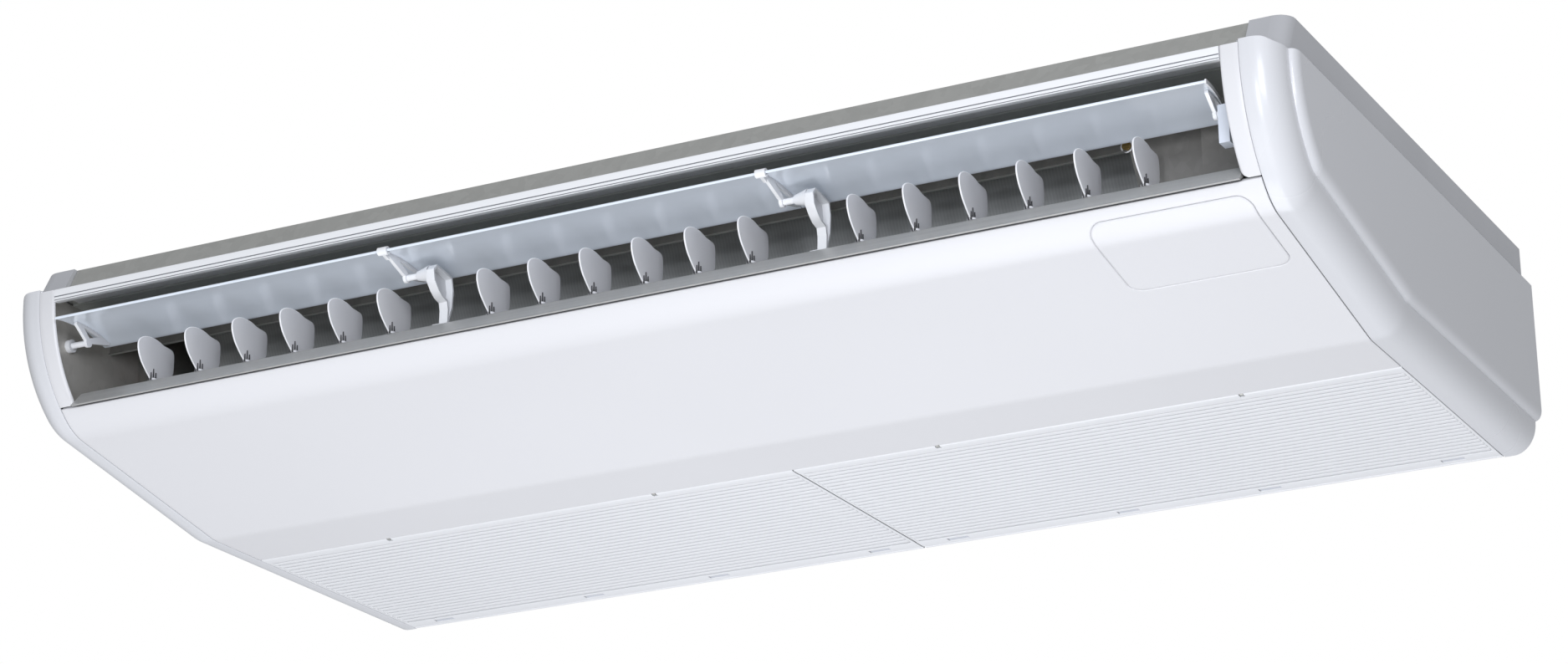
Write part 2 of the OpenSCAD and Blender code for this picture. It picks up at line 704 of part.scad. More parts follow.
// Outline of a vane in shares of its length and height, from the stem round the front
vane_shares = [[0.37, 0.01], [0.226, 0.085], [0.127, 0.209], [0.046, 0.343], [0, 0.5],
  [0.002, 0.64], [0.04, 0.78], [0.178, 0.9], [0.357, 0.97], [0.52, 1], [0.68, 0.985],
  [0.82, 0.975], [0.935, 0.94], [0.99, 0.85], [1, 0.7], [0.992, 0.5], [0.97, 0.38],
  [0.88, 0.28], [0.72, 0.2], [0.56, 0.02]];

module vane(i) color("darkgray") from_front() {
  z0 = -floor_drop + seat;
  along_x(vane_x[i] - vane_t / 2, vane_x[i] + vane_t / 2)
    polygon(spline([for (s = vane_shares) [vane_y0 + s[0] * vane_l, z0 + s[1] * vane_h]], 3));
  rod_z(z0, z0 + collar_h, vane_x[i], vane_y, collar_r);
  rod_z(-floor_drop - floor_t, z0 + collar_h, vane_x[i], vane_y, foot_r);
  rod_z(bar_z - seat - lug_h, bar_z - seat, vane_x[i], crank_y, lug_r);
  span([vane_x[i] - vane_t / 2, crank_y - lug_l, bar_z - seat - lug_h],
    [vane_x[i] + vane_t / 2, crank_y, bar_z - seat]);
  rod_z(bar_z - seat - lug_h / 2, bar_z + bar_t + seat, vane_x[i], crank_y, crank_pin_r);
}

module vane_bar(section) color("gray") from_front() difference() {
  span([vane_x[6 * section] - bar_w, crank_y - bar_w / 2, bar_z],
    [vane_x[6 * section + 5] + bar_w, crank_y + bar_w / 2, bar_z + bar_t]);
  for (i = [0:5])
    rod_z(bar_z - over, bar_z + bar_t + over, vane_x[6 * section + i], crank_y,
      crank_pin_r + running);
}

// Inlet grilles, hinged along their front edges, with the filters that they carry

hinge_r = 2.8;
hinge_gap = 1.5;
hinge_y = panel_end + hinge_gap + hinge_r;
hinge_z = -body_h + hinge_r;
hinge_pin_r = 1.5;
tab_t = 3;
notch_w = 5;
hinge_pin_l = 10;
grille_x0 = 0.8;
grille_x1 = seam_x - seat;
grille_gap = 1;
grille_end = rear_y - grille_gap;
grille_skin = 2.5;
frame_front = 17;
frame_rear = 24;
frame_side = 4;
comb_in = 27;
skirt = 2;
slat_t = 1.8;
slat_lean = 4;
rib_t = 2;
rib_drop = 1.6;
catch_w = 22;
catch_d = 6.5;
catch_gap = 0.8;
catch_deep = 0.8;
catch_in = 11.5;
catch_end = grille_end - catch_in;
quarter = (grille_x1 - grille_x0) / 4;
slat_y0 = panel_end + frame_front;
slat_shift_share = 0.15;
slats = floor((grille_end - frame_rear - slat_y0) / slat_pitch);
rib_xs = concat([grille_x0 + comb_in, grille_x1 - comb_in], [for (k = [1, 2, 3]) k * quarter]);
hinge_share = [1, 3];
catch_share = [0.29, 1.51, 2.49, 3.71];

module grille(side) color("white") from_front() on_side(side) {
  difference() {
    union() {
      span([grille_x0, hinge_y, -body_h], [grille_x1, grille_end, -body_h + grille_skin]);
      rod_x(grille_x0, grille_x1, hinge_y, hinge_z, hinge_r);
      difference() {
        span([grille_x0, hinge_y + skirt, -body_h], [grille_x1, grille_end, -body_h + grille_h]);
        span([grille_x0 + skirt, hinge_y + 2 * skirt, -body_h + grille_skin],
          [grille_x1 - skirt, grille_end - skirt, -body_h + grille_h + over]);
      }
    }
    span([grille_x0 + frame_side, slat_y0, -body_h - over],
      [grille_x1 - frame_side, grille_end - frame_rear, -body_h + grille_skin + over]);
    for (k = hinge_share) span([k * quarter - notch_w / 2, hinge_y - hinge_r - over,
        -body_h - over],
      [k * quarter + notch_w / 2, hinge_y + 2 * skirt + over, -body_h + grille_h + over]);
    for (k = catch_share) span([k * quarter - catch_w / 2 - catch_gap,
        catch_end - catch_d - catch_gap, -body_h - over],
      [k * quarter + catch_w / 2 + catch_gap, catch_end, -body_h + grille_skin + over]);
  }
  for (k = catch_share) span([k * quarter - catch_w / 2, catch_end - catch_d,
      -body_h + catch_deep], [k * quarter + catch_w / 2, catch_end + over, -body_h + grille_skin]);
  for (k = hinge_share) rod_x(k * quarter - hinge_pin_l, k * quarter + hinge_pin_l, hinge_y,
    hinge_z, hinge_pin_r);
  for (x = rib_xs) span([x - rib_t / 2, slat_y0 - over, -body_h + rib_drop],
    [x + rib_t / 2, grille_end - frame_rear + over, -body_h + grille_h]);
  for (i = [0:slats - 1]) along_x(grille_x0 + frame_side - over, grille_x1 - frame_side + over)
    translate([slat_y0 + (i + slat_shift_share) * slat_pitch, -body_h])
      polygon([[0, 0], [slat_w, 0], [slat_w + slat_lean, grille_h - rib_drop],
        [slat_w + slat_lean - slat_t, grille_h - rib_drop], [slat_w - slat_t, slat_t], [0, slat_t]]);
}
module grille_left() grille(-1);
module grille_right() grille(1);

filter_bar = 7;
filter_h = 3;
net_t = 0.5;
filter_z = -body_h + grille_h + seat;

module filter(side) color("lightgray") from_front() on_side(side) {
  x0 = grille_x0 + skirt;
  x1 = plate_x - 2 * seat;
  pane = (x1 - x0) / 4;
  y0 = slat_y0 - filter_bar;
  y1 = grille_end - frame_rear;
  difference() {
    span([x0, y0, filter_z], [x1, y1, filter_z + filter_h]);
    for (k = [0:3]) span([x0 + k * pane + filter_bar / 2, y0 + filter_bar, filter_z + net_t],
      [x0 + (k + 1) * pane - filter_bar / 2, y1 - filter_bar, filter_z + filter_h + over]);
  }
}
module filter_left() filter(-1);
module filter_right() filter(1);

// Fan chamber

deck_y = 365;
deck_foot = plate_foot;
wheel_y = 532;
wheel_z = -101;
wheel_gap = 7;
scroll_wall = 2;
scroll_w = wheel_l + 2 * wheel_gap;
motor_l = 104;
motor_r = 52;
scroll_gap = 44;
scroll_gap_outer = 48;
wheel_xs_right = [motor_l / 2 + scroll_gap + scroll_w / 2,
  motor_l / 2 + scroll_gap + scroll_gap_outer + 1.5 * scroll_w];
wheel_xs = [-wheel_xs_right[1], -wheel_xs_right[0], wheel_xs_right[0], wheel_xs_right[1]];
outlet_h = 82;
scroll_top = 14;
pan_hole_z = -178.5;
pan_hole_in = 25.1;
pan_hole_x = plate_x - pan_hole_in;
pipe_hole_in = 77.1;
pipe_hole_w = 56;
pipe_hole_x = plate_x - pipe_hole_in;
pipe_hole_z = [-160.5, -130];
hose_gap = 2.5;

module fan_deck() color("silver") from_front() difference() {
  union() {
    span([-plate_x + seat, deck_y, deck_foot], [plate_x - seat, deck_y + sheet, plate_top]);
    span([-plate_x + seat, deck_y, deck_foot],
      [plate_x - seat, hinge_y + hinge_r + skirt, deck_foot + sheet]);
    for (s = [-1, 1]) for (k = hinge_share) {
      span([s * k * quarter - tab_t / 2, hinge_y - hinge_r * 0.8, hinge_z],
        [s * k * quarter + tab_t / 2, hinge_y + hinge_r * 0.8, deck_foot + sheet]);
      rod_x(s * k * quarter - tab_t / 2, s * k * quarter + tab_t / 2, hinge_y, hinge_z,
        hinge_r - seat / 2);
    }
  }
  for (s = [-1, 1]) for (k = hinge_share)
    rod_x(s * k * quarter - tab_t, s * k * quarter + tab_t, hinge_y, hinge_z,
      hinge_pin_r + running);
  for (x = wheel_xs) span([x - scroll_w / 2 + scroll_wall, deck_y - over,
      -scroll_top - outlet_h + scroll_wall],
    [x + scroll_w / 2 - scroll_wall, deck_y + sheet + over, -scroll_top - scroll_wall]);
  span([pipe_hole_x, deck_y - over, pipe_hole_z[0]],
    [pipe_hole_x + pipe_hole_w, deck_y + sheet + over, pipe_hole_z[1]]);
  rod_y(deck_y - over, deck_y + sheet + over, pan_hole_x, pan_hole_z,
    drain_d / 2 + hose_gap);
}

// The scroll's wall spirals out from the tongue, round the wheel to the outlet
scroll_clear = 8;
scroll_r0 = wheel_d / 2 + scroll_clear;
scroll_grow = 9;
scroll_steps = 16;
function scroll_loop(w) = concat(
  [for (i = [0:scroll_steps]) let (a = -160 + 250 * i / scroll_steps,
      r = scroll_r0 + scroll_grow * i / scroll_steps - w)
    [wheel_y + r * cos(a), wheel_z + r * sin(a)]],
  [[deck_y + sheet + seat, -scroll_top - w]],
  [[deck_y + sheet + seat, -scroll_top - outlet_h + w]],
  [[wheel_y - scroll_r0 + w, -scroll_top - outlet_h + w]]);

module fan_scrolls() color("lightgray") from_front() for (x = wheel_xs) difference() {
  along_x(x - scroll_w / 2, x + scroll_w / 2) polygon(scroll_loop(0));
  along_x(x - scroll_w / 2 + scroll_wall, x + scroll_w / 2 - scroll_wall)
    polygon(scroll_loop(scroll_wall));
  span([x - scroll_w / 2 + scroll_wall, deck_y - over, -scroll_top - outlet_h + scroll_wall],
    [x + scroll_w / 2 - scroll_wall, deck_y + scroll_wall * 3, -scroll_top - scroll_wall]);
  rod_x(x - scroll_w, x + scroll_w, wheel_y, wheel_z, wheel_d / 2 - wheel_gap);
}

ring_t = 3;
blade_t = 1.2;
blade_depth = 14;
disc_t = 3;
blade_curl = 22;
wheel_hub_r = 16;

// A forward curved blade as three chords between the inner and the outer radius
function blade_pts(w) = [for (k = [0:3]) let (r = wheel_d / 2 - seat - blade_depth * (1 - k / 3),
    a = blade_curl * k * k / 9 + w * asin(blade_t / r)) [r * cos(a), r * sin(a)]];

module fan_wheels() color("whitesmoke") from_front() for (x = wheel_xs) {
  for (k = [0, 1]) difference() {
    rod_x(x - wheel_l / 2 + k * (wheel_l - ring_t), x - wheel_l / 2 + k * (wheel_l - ring_t) + ring_t,
      wheel_y, wheel_z, wheel_d / 2);
    rod_x(x - wheel_l, x + wheel_l, wheel_y, wheel_z, wheel_d / 2 - blade_depth);
  }
  along_x(x - wheel_l / 2 + ring_t / 2, x + wheel_l / 2 - ring_t / 2)
    translate([wheel_y, wheel_z]) for (k = [0:wheel_blades - 1]) rotate(360 * k / wheel_blades)
      polygon(concat(blade_pts(0), flip(blade_pts(1))));
  difference() {
    union() {
      rod_x(x - disc_t / 2, x + disc_t / 2, wheel_y, wheel_z, wheel_d / 2 - blade_depth / 2);
      rod_x(x - wheel_hub_r, x + wheel_hub_r, wheel_y, wheel_z, wheel_hub_r);
    }
    rod_x(x - wheel_hub_r - over, x + wheel_hub_r + over, wheel_y, wheel_z,
      shaft_d / 2 + running);
  }
}

bearing_gap = 12;
bearing_x = wheel_xs_right[1] + scroll_w / 2 + bearing_gap;
bearing_w = 10;
bearing_r = 15;

module fan_shaft() color("lightgray") from_front()
  rod_x(-bearing_x - bearing_w, bearing_x + bearing_w, wheel_y, wheel_z, shaft_d / 2);

cap_l = 14;
cap_r = 20;

module fan_motor() color("dimgray") from_front() difference() {
  union() {
    rod_x(-motor_l / 2, motor_l / 2, wheel_y, wheel_z, motor_r);
    rod_x(-motor_l / 2 - cap_l, motor_l / 2 + cap_l, wheel_y, wheel_z, cap_r);
  }
  rod_x(-motor_l, motor_l, wheel_y, wheel_z, shaft_d / 2 + running);
}

strap_w = 30;
bracket_t = 2.5;
bracket_w = 36;

module motor_bracket() color("silver") from_front() {
  difference() {
    union() {
      rod_x(-strap_w / 2, strap_w / 2, wheel_y, wheel_z, motor_r + seat + bracket_t);
      span([-strap_w, wheel_y - motor_r - bracket_w / 2, plate_top - bracket_t],
        [strap_w, wheel_y + motor_r + bracket_w / 2, plate_top]);
      span([-strap_w / 2, wheel_y - motor_r / 2, wheel_z + motor_r],
        [strap_w / 2, wheel_y + motor_r / 2, plate_top - bracket_t / 2]);
    }
    rod_x(-strap_w, strap_w, wheel_y, wheel_z, motor_r + seat);
  }
  for (s = [-1, 1]) difference() {
    union() {
      span([s * bearing_x - bearing_w / 2, wheel_y - bearing_r, wheel_z],
        [s * bearing_x + bearing_w / 2, wheel_y + bearing_r, plate_top]);
      rod_x(s * bearing_x - bearing_w / 2, s * bearing_x + bearing_w / 2, wheel_y, wheel_z,
        bearing_r);
    }
    rod_x(s * bearing_x - bearing_w, s * bearing_x + bearing_w, wheel_y, wheel_z,
      shaft_d / 2 + running);
  }
}

// Heat exchanger, drain pan and pipes

pan_wall = 5;
pan_front = 64;
pan_rear = deck_y - 2 * seat;
pan_in = 12;
pan_x = plate_x - pan_in;
pan_skin = panel_wall + 2 * seat;
pan_top = -floor_drop - floor_t - seat;
pan_rear_top = -165;
spigot_wall = 2.5;
spigot_l = 30;

// Section of the pan between its front and rear walls, w inside its outer faces
module pan_profile(w) intersection() {
  inside(pan_skin + w);
  polygon([[pan_front + w, pan_top + (w > 0 ? pan_wall : 0)],
    [pan_rear - w, pan_rear_top + (w > 0 ? pan_wall : 0)],
    [pan_rear - w, -body_h], [pan_front + w, -body_h]]);
}

module drain_pan() color("whitesmoke") from_front() difference() {
  union() {
    along_x(-pan_x, pan_x) pan_profile(0);
    rod_y(pan_rear - pan_wall, pan_rear + spigot_l, pan_hole_x, pan_hole_z, drain_d / 2);
  }
  along_x(-pan_x + pan_wall, pan_x - pan_wall) pan_profile(pan_wall);
  rod_y(pan_rear - 3 * pan_wall, pan_rear + spigot_l + over, pan_hole_x, pan_hole_z,
    drain_d / 2 - spigot_wall);
}

coil_in_left = 53.1;
coil_in_right = 78.1;
coil_x0 = coil_in_left - plate_x;
coil_x1 = plate_x - coil_in_right;
coil_t = 38;
coil_l = 172;
coil_lean = 18;
coil_y = 262;
coil_z = -177;
coil_core = 4;
fin_gap = 19;
fin_pitch = 25;
hook_t = 3;
hook_y = 208;
hook_w = 26;
hook_h = 26;

// Children are drawn in the coil's own leaning frame, its foot at the origin
module in_coil() translate([0, coil_y, coil_z]) rotate([coil_lean, 0, 0]) children();

module coil_fins() color("silver") from_front() {
  in_coil() difference() {
    span([coil_x0, -coil_t / 2, 0], [coil_x1, coil_t / 2, coil_l]);
    for (x = [coil_x0 + fin_pitch - fin_gap:fin_pitch:coil_x1 - fin_pitch])
      for (y = [-coil_t / 2 - over, coil_core / 2])
        span([x, y, hook_t], [x + fin_gap, y + coil_t / 2 - coil_core / 2 + over, coil_l + over]);
  }
  for (x = [coil_x0, coil_x1 - hook_t])
    span([x, hook_y, plate_top - hook_h], [x + hook_t, hook_y + hook_w, plate_top]);
}

tube_r = 4;
tube_pitch = 21;
tube_rows = 7;
header_r = 8;
liquid_header_r = 5;
gas_x = coil_x1 + seat + 2 * header_r;
union_pitch = 27;
liquid_x = gas_x + union_pitch;

// A return bend that stands on the end plate and joins two tubes
module u_bend() rotate([90, 0, 0]) rotate_extrude(angle = 180, $fn = 48)
  translate([tube_pitch / 2, 0]) circle(r = tube_r, $fn = 24);

module coil_tubes() color("peru") from_front() in_coil() {
  for (i = [0:tube_rows - 1]) {
    translate([coil_x0 - seat, -coil_t / 4, tube_pitch * (i + 1)]) rotate([0, -90, 0]) u_bend();
    translate([coil_x0 - seat, coil_t / 4, tube_pitch * (i + 0.6)]) rotate([0, -90, 0]) u_bend();
  }
  for (i = [0:tube_rows - 1]) {
    rod_x(coil_x1 + seat, gas_x, coil_t / 4, tube_pitch * (i + 0.6), tube_r);
    rod_x(coil_x1 + seat, liquid_x, -coil_t / 4, tube_pitch * (i + 1), tube_r);
  }
  rod_z(tube_pitch / 3, tube_pitch * tube_rows, gas_x, coil_t / 4, header_r);
  rod_z(tube_pitch / 3, tube_pitch * (tube_rows + 0.4), liquid_x, -coil_t / 4, liquid_header_r);
}

pipe_y1 = 628;
union_hex = 5;
union_l = 14;
pipe_z = -150;

// Where a pipe of radius r starts beside a leaning header of radius hr, at a depth d in the coil
function pipe_start(d, hr, r) = coil_y - (pipe_z - coil_z) * tan(coil_lean)
  + (d + hr) / cos(coil_lean) + r * tan(coil_lean) + seat;

// A pipe from y0 beside its header to a flare union at its rear end
module pipe(x, y0, r, thread_r) difference() {
  union() {
    rod_y(y0, pipe_y1, x, pipe_z, r);
    rod_y(pipe_y1, pipe_y1 + union_l, x, pipe_z, thread_r);
    translate([x, pipe_y1 - union_l, pipe_z]) rotate([-90, 0, 0])
      cylinder(h = union_l, r = thread_r + union_hex / 2, $fn = 6);
  }
  rod_y(pipe_y1 - 2 * union_l, pipe_y1 + union_l + over, x, pipe_z, r / 2);
}

gas_pipe_r = 7.94;
liquid_pipe_r = 4.76;

module refrigerant_pipes() color("peru") from_front() {
  pipe(gas_x, pipe_start(coil_t / 4, header_r, gas_pipe_r), gas_pipe_r, gas_d / 2);
  pipe(liquid_x, pipe_start(-coil_t / 4, liquid_header_r, liquid_pipe_r), liquid_pipe_r,
    liquid_d / 2);
}

// Control box

box_gap = 14;
box_in = 16;
box_x0 = bearing_x + bearing_w + box_gap;
box_x1 = plate_x - box_in;
box_y0 = 400;
box_y1 = 646;
box_z = -88;
board_t = 1.6;
board_gap = 6;
wire_hole_in = 30;
wire_hole_r = 9;

module control_box() color("silver") from_front() difference() {
  span([box_x0, box_y0, box_z], [box_x1, box_y1, plate_top]);
  span([box_x0 + sheet, box_y0 + sheet, box_z - over], [box_x1 - sheet, box_y1 - sheet,
    plate_top - sheet]);
  for (y = [box_y0 + wire_hole_in, box_y1 - wire_hole_in])
    rod_x(box_x0 - over, box_x0 + 2 * sheet, y, (box_z + plate_top) / 2, wire_hole_r);
}

screw_r = 2;
screw_head_r = 4;
screw_head_h = 2.4;
screw_l = 10;
cover_screw_in = 12;
cover_screws = [for (x = [box_x0 + cover_screw_in, box_x1 - cover_screw_in])
  for (y = [box_y0 + cover_screw_in, box_y1 - cover_screw_in]) [x, y]];

module control_cover() color("silver") from_front() difference() {
  span([box_x0, box_y0, box_z - seat - sheet], [box_x1, box_y1, box_z - seat]);
  for (p = cover_screws) rod_z(box_z - seat - sheet - over, box_z, p[0], p[1], screw_r + running);
}

terminal_size = [36, 90, 22];

module circuit_board() color("darkgreen") from_front() {
  z = plate_top - sheet - board_gap - board_t;
  span([box_x0 + 3 * board_gap, box_y0 + 3 * board_gap, z],
    [box_x1 - 3 * board_gap, box_y1 - 3 * board_gap, z + board_t]);
  for (x = [box_x0 + 5 * board_gap, box_x1 - 5 * board_gap])
    for (y = [box_y0 + 5 * board_gap, box_y1 - 5 * board_gap])
      rod_z(z, plate_top - sheet, x, y, board_gap / 2);
  span([box_x0 + 4 * board_gap, box_y0 + 6 * board_gap, z - terminal_size[2]],
    [box_x0 + 4 * board_gap + terminal_size[0], box_y0 + 6 * board_gap + terminal_size[1], z]);
  for (k = [0:3]) rod_z(z - terminal_size[0], z, box_x1 - 7 * board_gap,
    box_y0 + (8 + 5 * k) * board_gap, terminal_size[2] / 2);
}

module screw() {
  rotate([180, 0, 0]) cylinder(h = screw_head_h, r = screw_head_r, $fn = 32);
  cylinder(h = screw_l, r = screw_r, $fn = 32);
}

module screws() color("goldenrod") from_front() {
  for (p = cover_screws) translate([p[0], p[1], box_z - seat - sheet]) screw();
  translate([tab_x, guide_y, tab_z]) rotate([-90, 0, 0]) screw();
}

top_plate();
rear_plate();
side_plates();
hanger_rail_left();
hanger_rail_right();
outlet_trim();
side_panel_left();
side_panel_right();
outlet_cheek_left();
outlet_cheek_right();
front_panel();
receiver_cover();
outlet_lip();
outlet_duct();
flap_left();
flap_middle();
flap_right();
flap_arms();
flap_supports();
flap_coupler();
flap_motor();
grille_left();
grille_right();
filter_left();
filter_right();
for (i = [0:len(VANE_NODES) - 1]) vane(i);
for (i = [0:len(BAR_NODES) - 1]) vane_bar(i);
fan_deck();
fan_scrolls();
fan_motor();
motor_bracket();
fan_shaft();
fan_wheels();
coil_fins();
coil_tubes();
drain_pan();
refrigerant_pipes();
control_box();
control_cover();
circuit_board();
screws();
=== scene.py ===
"""Ceiling suspended air conditioner, seen from below at its front right corner.

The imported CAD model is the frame. The visible mouldings are made again as smooth
surfaces worked out with numpy, on the same measures as the CAD, and every solid of
the CAD that stays gets the finish of its real material.
Lengths in this script are millimetres, with x to the right, y from the nose towards
the rear and z up from the top plane. to_row() turns them into the frame's metres.
"""
import json
import math
import bpy
import bmesh
import numpy as np
from mathutils import Matrix, Vector


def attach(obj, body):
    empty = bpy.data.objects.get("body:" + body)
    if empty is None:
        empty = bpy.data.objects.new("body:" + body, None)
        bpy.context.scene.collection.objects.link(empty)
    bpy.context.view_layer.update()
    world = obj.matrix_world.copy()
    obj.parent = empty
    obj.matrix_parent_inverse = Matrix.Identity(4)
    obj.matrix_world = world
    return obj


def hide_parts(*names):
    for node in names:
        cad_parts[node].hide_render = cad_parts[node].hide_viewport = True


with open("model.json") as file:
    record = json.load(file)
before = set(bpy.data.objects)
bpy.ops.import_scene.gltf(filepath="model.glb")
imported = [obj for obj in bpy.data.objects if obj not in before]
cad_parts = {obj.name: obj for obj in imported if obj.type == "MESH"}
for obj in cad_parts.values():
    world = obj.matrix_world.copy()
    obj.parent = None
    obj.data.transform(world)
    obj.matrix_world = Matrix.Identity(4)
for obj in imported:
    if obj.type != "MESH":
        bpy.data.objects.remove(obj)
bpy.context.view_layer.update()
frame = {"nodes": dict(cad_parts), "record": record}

# Casing

BODY_W = 1320.0
BODY_D = 690.0
BODY_H = 210.0
BOLT_CENTRE_Y = 345.0
SIDE_X = BODY_W / 2
SEAM_X = SIDE_X - 40.1
MOUTH_X = SEAM_X - 17.4
BAND_W = 7.0
BAND_H = 11.0
CROWN_X = SIDE_X - BAND_W
RAIL_H = 40.0
SEAT = 0.3
JOINT = 0.9

# Nose, chin, slope and bend of the section

NOSE_R = 145.0
NOSE_DROP = 45.0
CHIN_R = 60.0
BEND_R = 60.0
BEND_Y = 303.0
SLOPE = math.radians(10.5)
MOUTH_DROP = 145.9
PANEL_END = 385.2

# Flap and vanes

PIVOT = np.array([38.0, -84.0])
FLAP_W = 82.0
FLAP_RISE = 12.2
FLAP_FRONT = 43.1
FLAP_R = 170.0
FLAP_T = 2.0
FLAP_TILT = math.radians(-3.5)
FLAP_X0 = 5.7 - MOUTH_X
FLAP_X1 = MOUTH_X - 12.5
FLAP_SLANT = 9.5
BEAD_R = 1.3
VANE_PITCH = 2 * MOUTH_X / 22.2
VANE_Y = PIVOT[0] + 16
VANE_L = 62.8
VANE_H = 43.5
VANE_X = [VANE_PITCH * (7 * s + i - 2.5) - 5.5 for s in (-1, 0, 1) for i in range(6)]
FLOOR_Z = -130.0
FLOOR_T = 7.6
CRANK_Y = VANE_Y + 38
BAR_Z = FLOOR_Z + 6
SUPPORT_X = 3.5 * VANE_PITCH + 7
ARM_X = [-SUPPORT_X - 26.5, SUPPORT_X - 26.5]
TRIM_X = MOUTH_X - SEAT
DUCT_X = MOUTH_X + 8.5
END_PLATE_X = DUCT_X - 133.5
SECTIONS = ["left", "middle", "right"]

# Coil

COIL_X0 = 53.1 - DUCT_X
COIL_X1 = DUCT_X - 78.1
COIL_T = 38.0
COIL_L = 172.0
COIL_LEAN = math.radians(18)
COIL_Y = 262.0
COIL_Z = -177.0
TUBE_PITCH = 21.0


def to_row(points):
    """Millimetres from the nose and the top plane, as the frame's metres."""
    p = np.asarray(points, float).reshape(-1, 3) - (0, BOLT_CENTRE_Y, 0)
    return p / 1000.0


def linear(code):
    """An sRGB colour such as #F0F1F4 as the linear red, green, blue and alpha of a shader."""
    c = np.array([int(code[i:i + 2], 16) for i in (1, 3, 5)]) / 255.0
    return tuple(np.where(c <= 0.04045, c / 12.92, ((c + 0.055) / 1.055) ** 2.4)) + (1.0,)


# Camera and studio

AZIMUTH = math.radians(26.937)
ELEVATION = math.radians(19.751)
ROLL = math.radians(-0.813)
DISTANCE = 3.827
LOOK_AT = Vector((0.0371, -0.045, -0.1007))


def place_camera():
    """The camera stands in front, to the right and below, and looks up at the underside."""
    ahead = Vector((-math.sin(AZIMUTH) * math.cos(ELEVATION),
                    math.cos(AZIMUTH) * math.cos(ELEVATION), math.sin(ELEVATION)))
    level = ahead.cross(Vector((0, 0, 1))).normalized()
    upright = level.cross(ahead)
    right = level * math.cos(ROLL) + upright * math.sin(ROLL)
    up = upright * math.cos(ROLL) - level * math.sin(ROLL)
    data = bpy.data.cameras.new("camera")
    data.sensor_fit = "HORIZONTAL"
    data.sensor_width = 36.0
    data.lens = 91.716
    data.clip_end = 60
    camera = bpy.data.objects.new("camera", data)
    turn = Matrix((right, up, -ahead)).transposed().to_4x4()
    camera.matrix_world = Matrix.Translation(LOOK_AT - ahead * DISTANCE) @ turn
    bpy.context.scene.collection.objects.link(camera)
    bpy.context.scene.camera = camera


def add_softbox(name, place, aim, size, power, tint):
    """A square area light at place, turned to face aim."""
    data = bpy.data.lights.new(name, "AREA")
    data.shape = "RECTANGLE"
    data.size, data.size_y = size
    data.energy = power
    data.color = linear(tint)[:3]
    lamp = bpy.data.objects.new(name, data)
    away = Vector(place) - Vector(aim)
    lamp.matrix_world = Matrix.Translation(place) @ away.to_track_quat("Z", "Y").to_matrix().to_4x4()
    bpy.context.scene.collection.objects.link(lamp)


def build_studio():
    """A pale floor far below, a white surround and soft lights."""
    scene = bpy.context.scene
    scene.view_settings.view_transform = "Standard"
    world = bpy.data.worlds.new("surround")
    world.use_nodes = True
    tree = world.node_tree
    tree.nodes.clear()
    out = tree.nodes.new("ShaderNodeOutputWorld")
    lit = tree.nodes.new("ShaderNodeBackground")
    lit.inputs["Color"].default_value = linear("#F4F6FA")
    lit.inputs["Strength"].default_value = 0.42
    seen = tree.nodes.new("ShaderNodeBackground")
    seen.inputs["Color"].default_value = (1, 1, 1, 1)
    seen.inputs["Strength"].default_value = 1.0
    mix = tree.nodes.new("ShaderNodeMixShader")
    ray = tree.nodes.new("ShaderNodeLightPath")
    tree.links.new(ray.outputs["Is Camera Ray"], mix.inputs[0])
    tree.links.new(lit.outputs[0], mix.inputs[1])
    tree.links.new(seen.outputs[0], mix.inputs[2])
    tree.links.new(mix.outputs[0], out.inputs["Surface"])
    scene.world = world
    bpy.ops.mesh.primitive_plane_add(size=24, location=(0, 0, -4.6))
    floor = bpy.context.object
    floor.name = "studio_floor"
    floor.data.materials.append(simple_finish("studio_paper", "#F2F2F0", 0.9))
    add_softbox("key", (0.1, -2.9, -2.7), (0.0, -0.3, -0.1), (3.0, 2.0), 23, "#FFFFFF")
    add_softbox("vane_fill", (2.3, -3.2, 0.1), (0.2, -0.3, -0.1), (1.4, 1.4), 50, "#F6F8FF")
    add_softbox("side_fill", (3.3, -1.9, 1.6), (0.7, -0.1, -0.1), (1.6, 1.6), 5, "#F8F8FF")
    add_softbox("mouth_fill", (0.9, -3.6, -0.8), (0.2, -0.3, -0.1), (0.6, 1.2), 34, "#F3F7FF")
    add_softbox("under_fill", (0.0, 0.1, -2.2), (0.0, 0.1, -0.2), (1.5, 2.2), 30, "#F4F6FD")


# Finishes


def add_node(tree, kind, links=(), **settings):
    """Adds a shader node, sets its inputs and properties, and links (output, input) pairs."""
    node = tree.nodes.new("ShaderNode" + kind)
    for key, value in settings.items():
        if key in node.inputs:
            node.inputs[key].default_value = value
        else:
            setattr(node, key, value)
    for source, target in links:
        tree.links.new(source, node.inputs[target])
    return node


def start_finish(name):
    """A new material with its tree, its shader and the object's own coordinates."""
    material = bpy.data.materials.new(name)
    material.use_nodes = True
    tree = material.node_tree
    shader = tree.nodes["Principled BSDF"]
    place = add_node(tree, "TexCoord")
    return material, tree, shader, place.outputs["Object"]


def simple_finish(name, colour, rough):
    """A flat paper or felt for what isn't part of the object."""
    material, tree, shader, place = start_finish(name)
    shader.inputs["Base Color"].default_value = linear(colour)
    shader.inputs["Roughness"].default_value = rough
    return material


def tone(tree, place, colours, scale, detail=3.0, low=0.35, high=0.65):
    """Slow drift between two colours, as between batches of moulding or rolling."""
    noise = add_node(tree, "TexNoise", [(place, "Vector")], Scale=scale, Detail=detail)
    ramp = add_node(tree, "ValToRGB", [(noise.outputs["Fac"], "Fac")])
    ramp.color_ramp.elements[0].position = low
    ramp.color_ramp.elements[1].position = high
    ramp.color_ramp.elements[0].color = linear(colours[0])
    ramp.color_ramp.elements[1].color = linear(colours[1])
    return ramp.outputs["Color"]


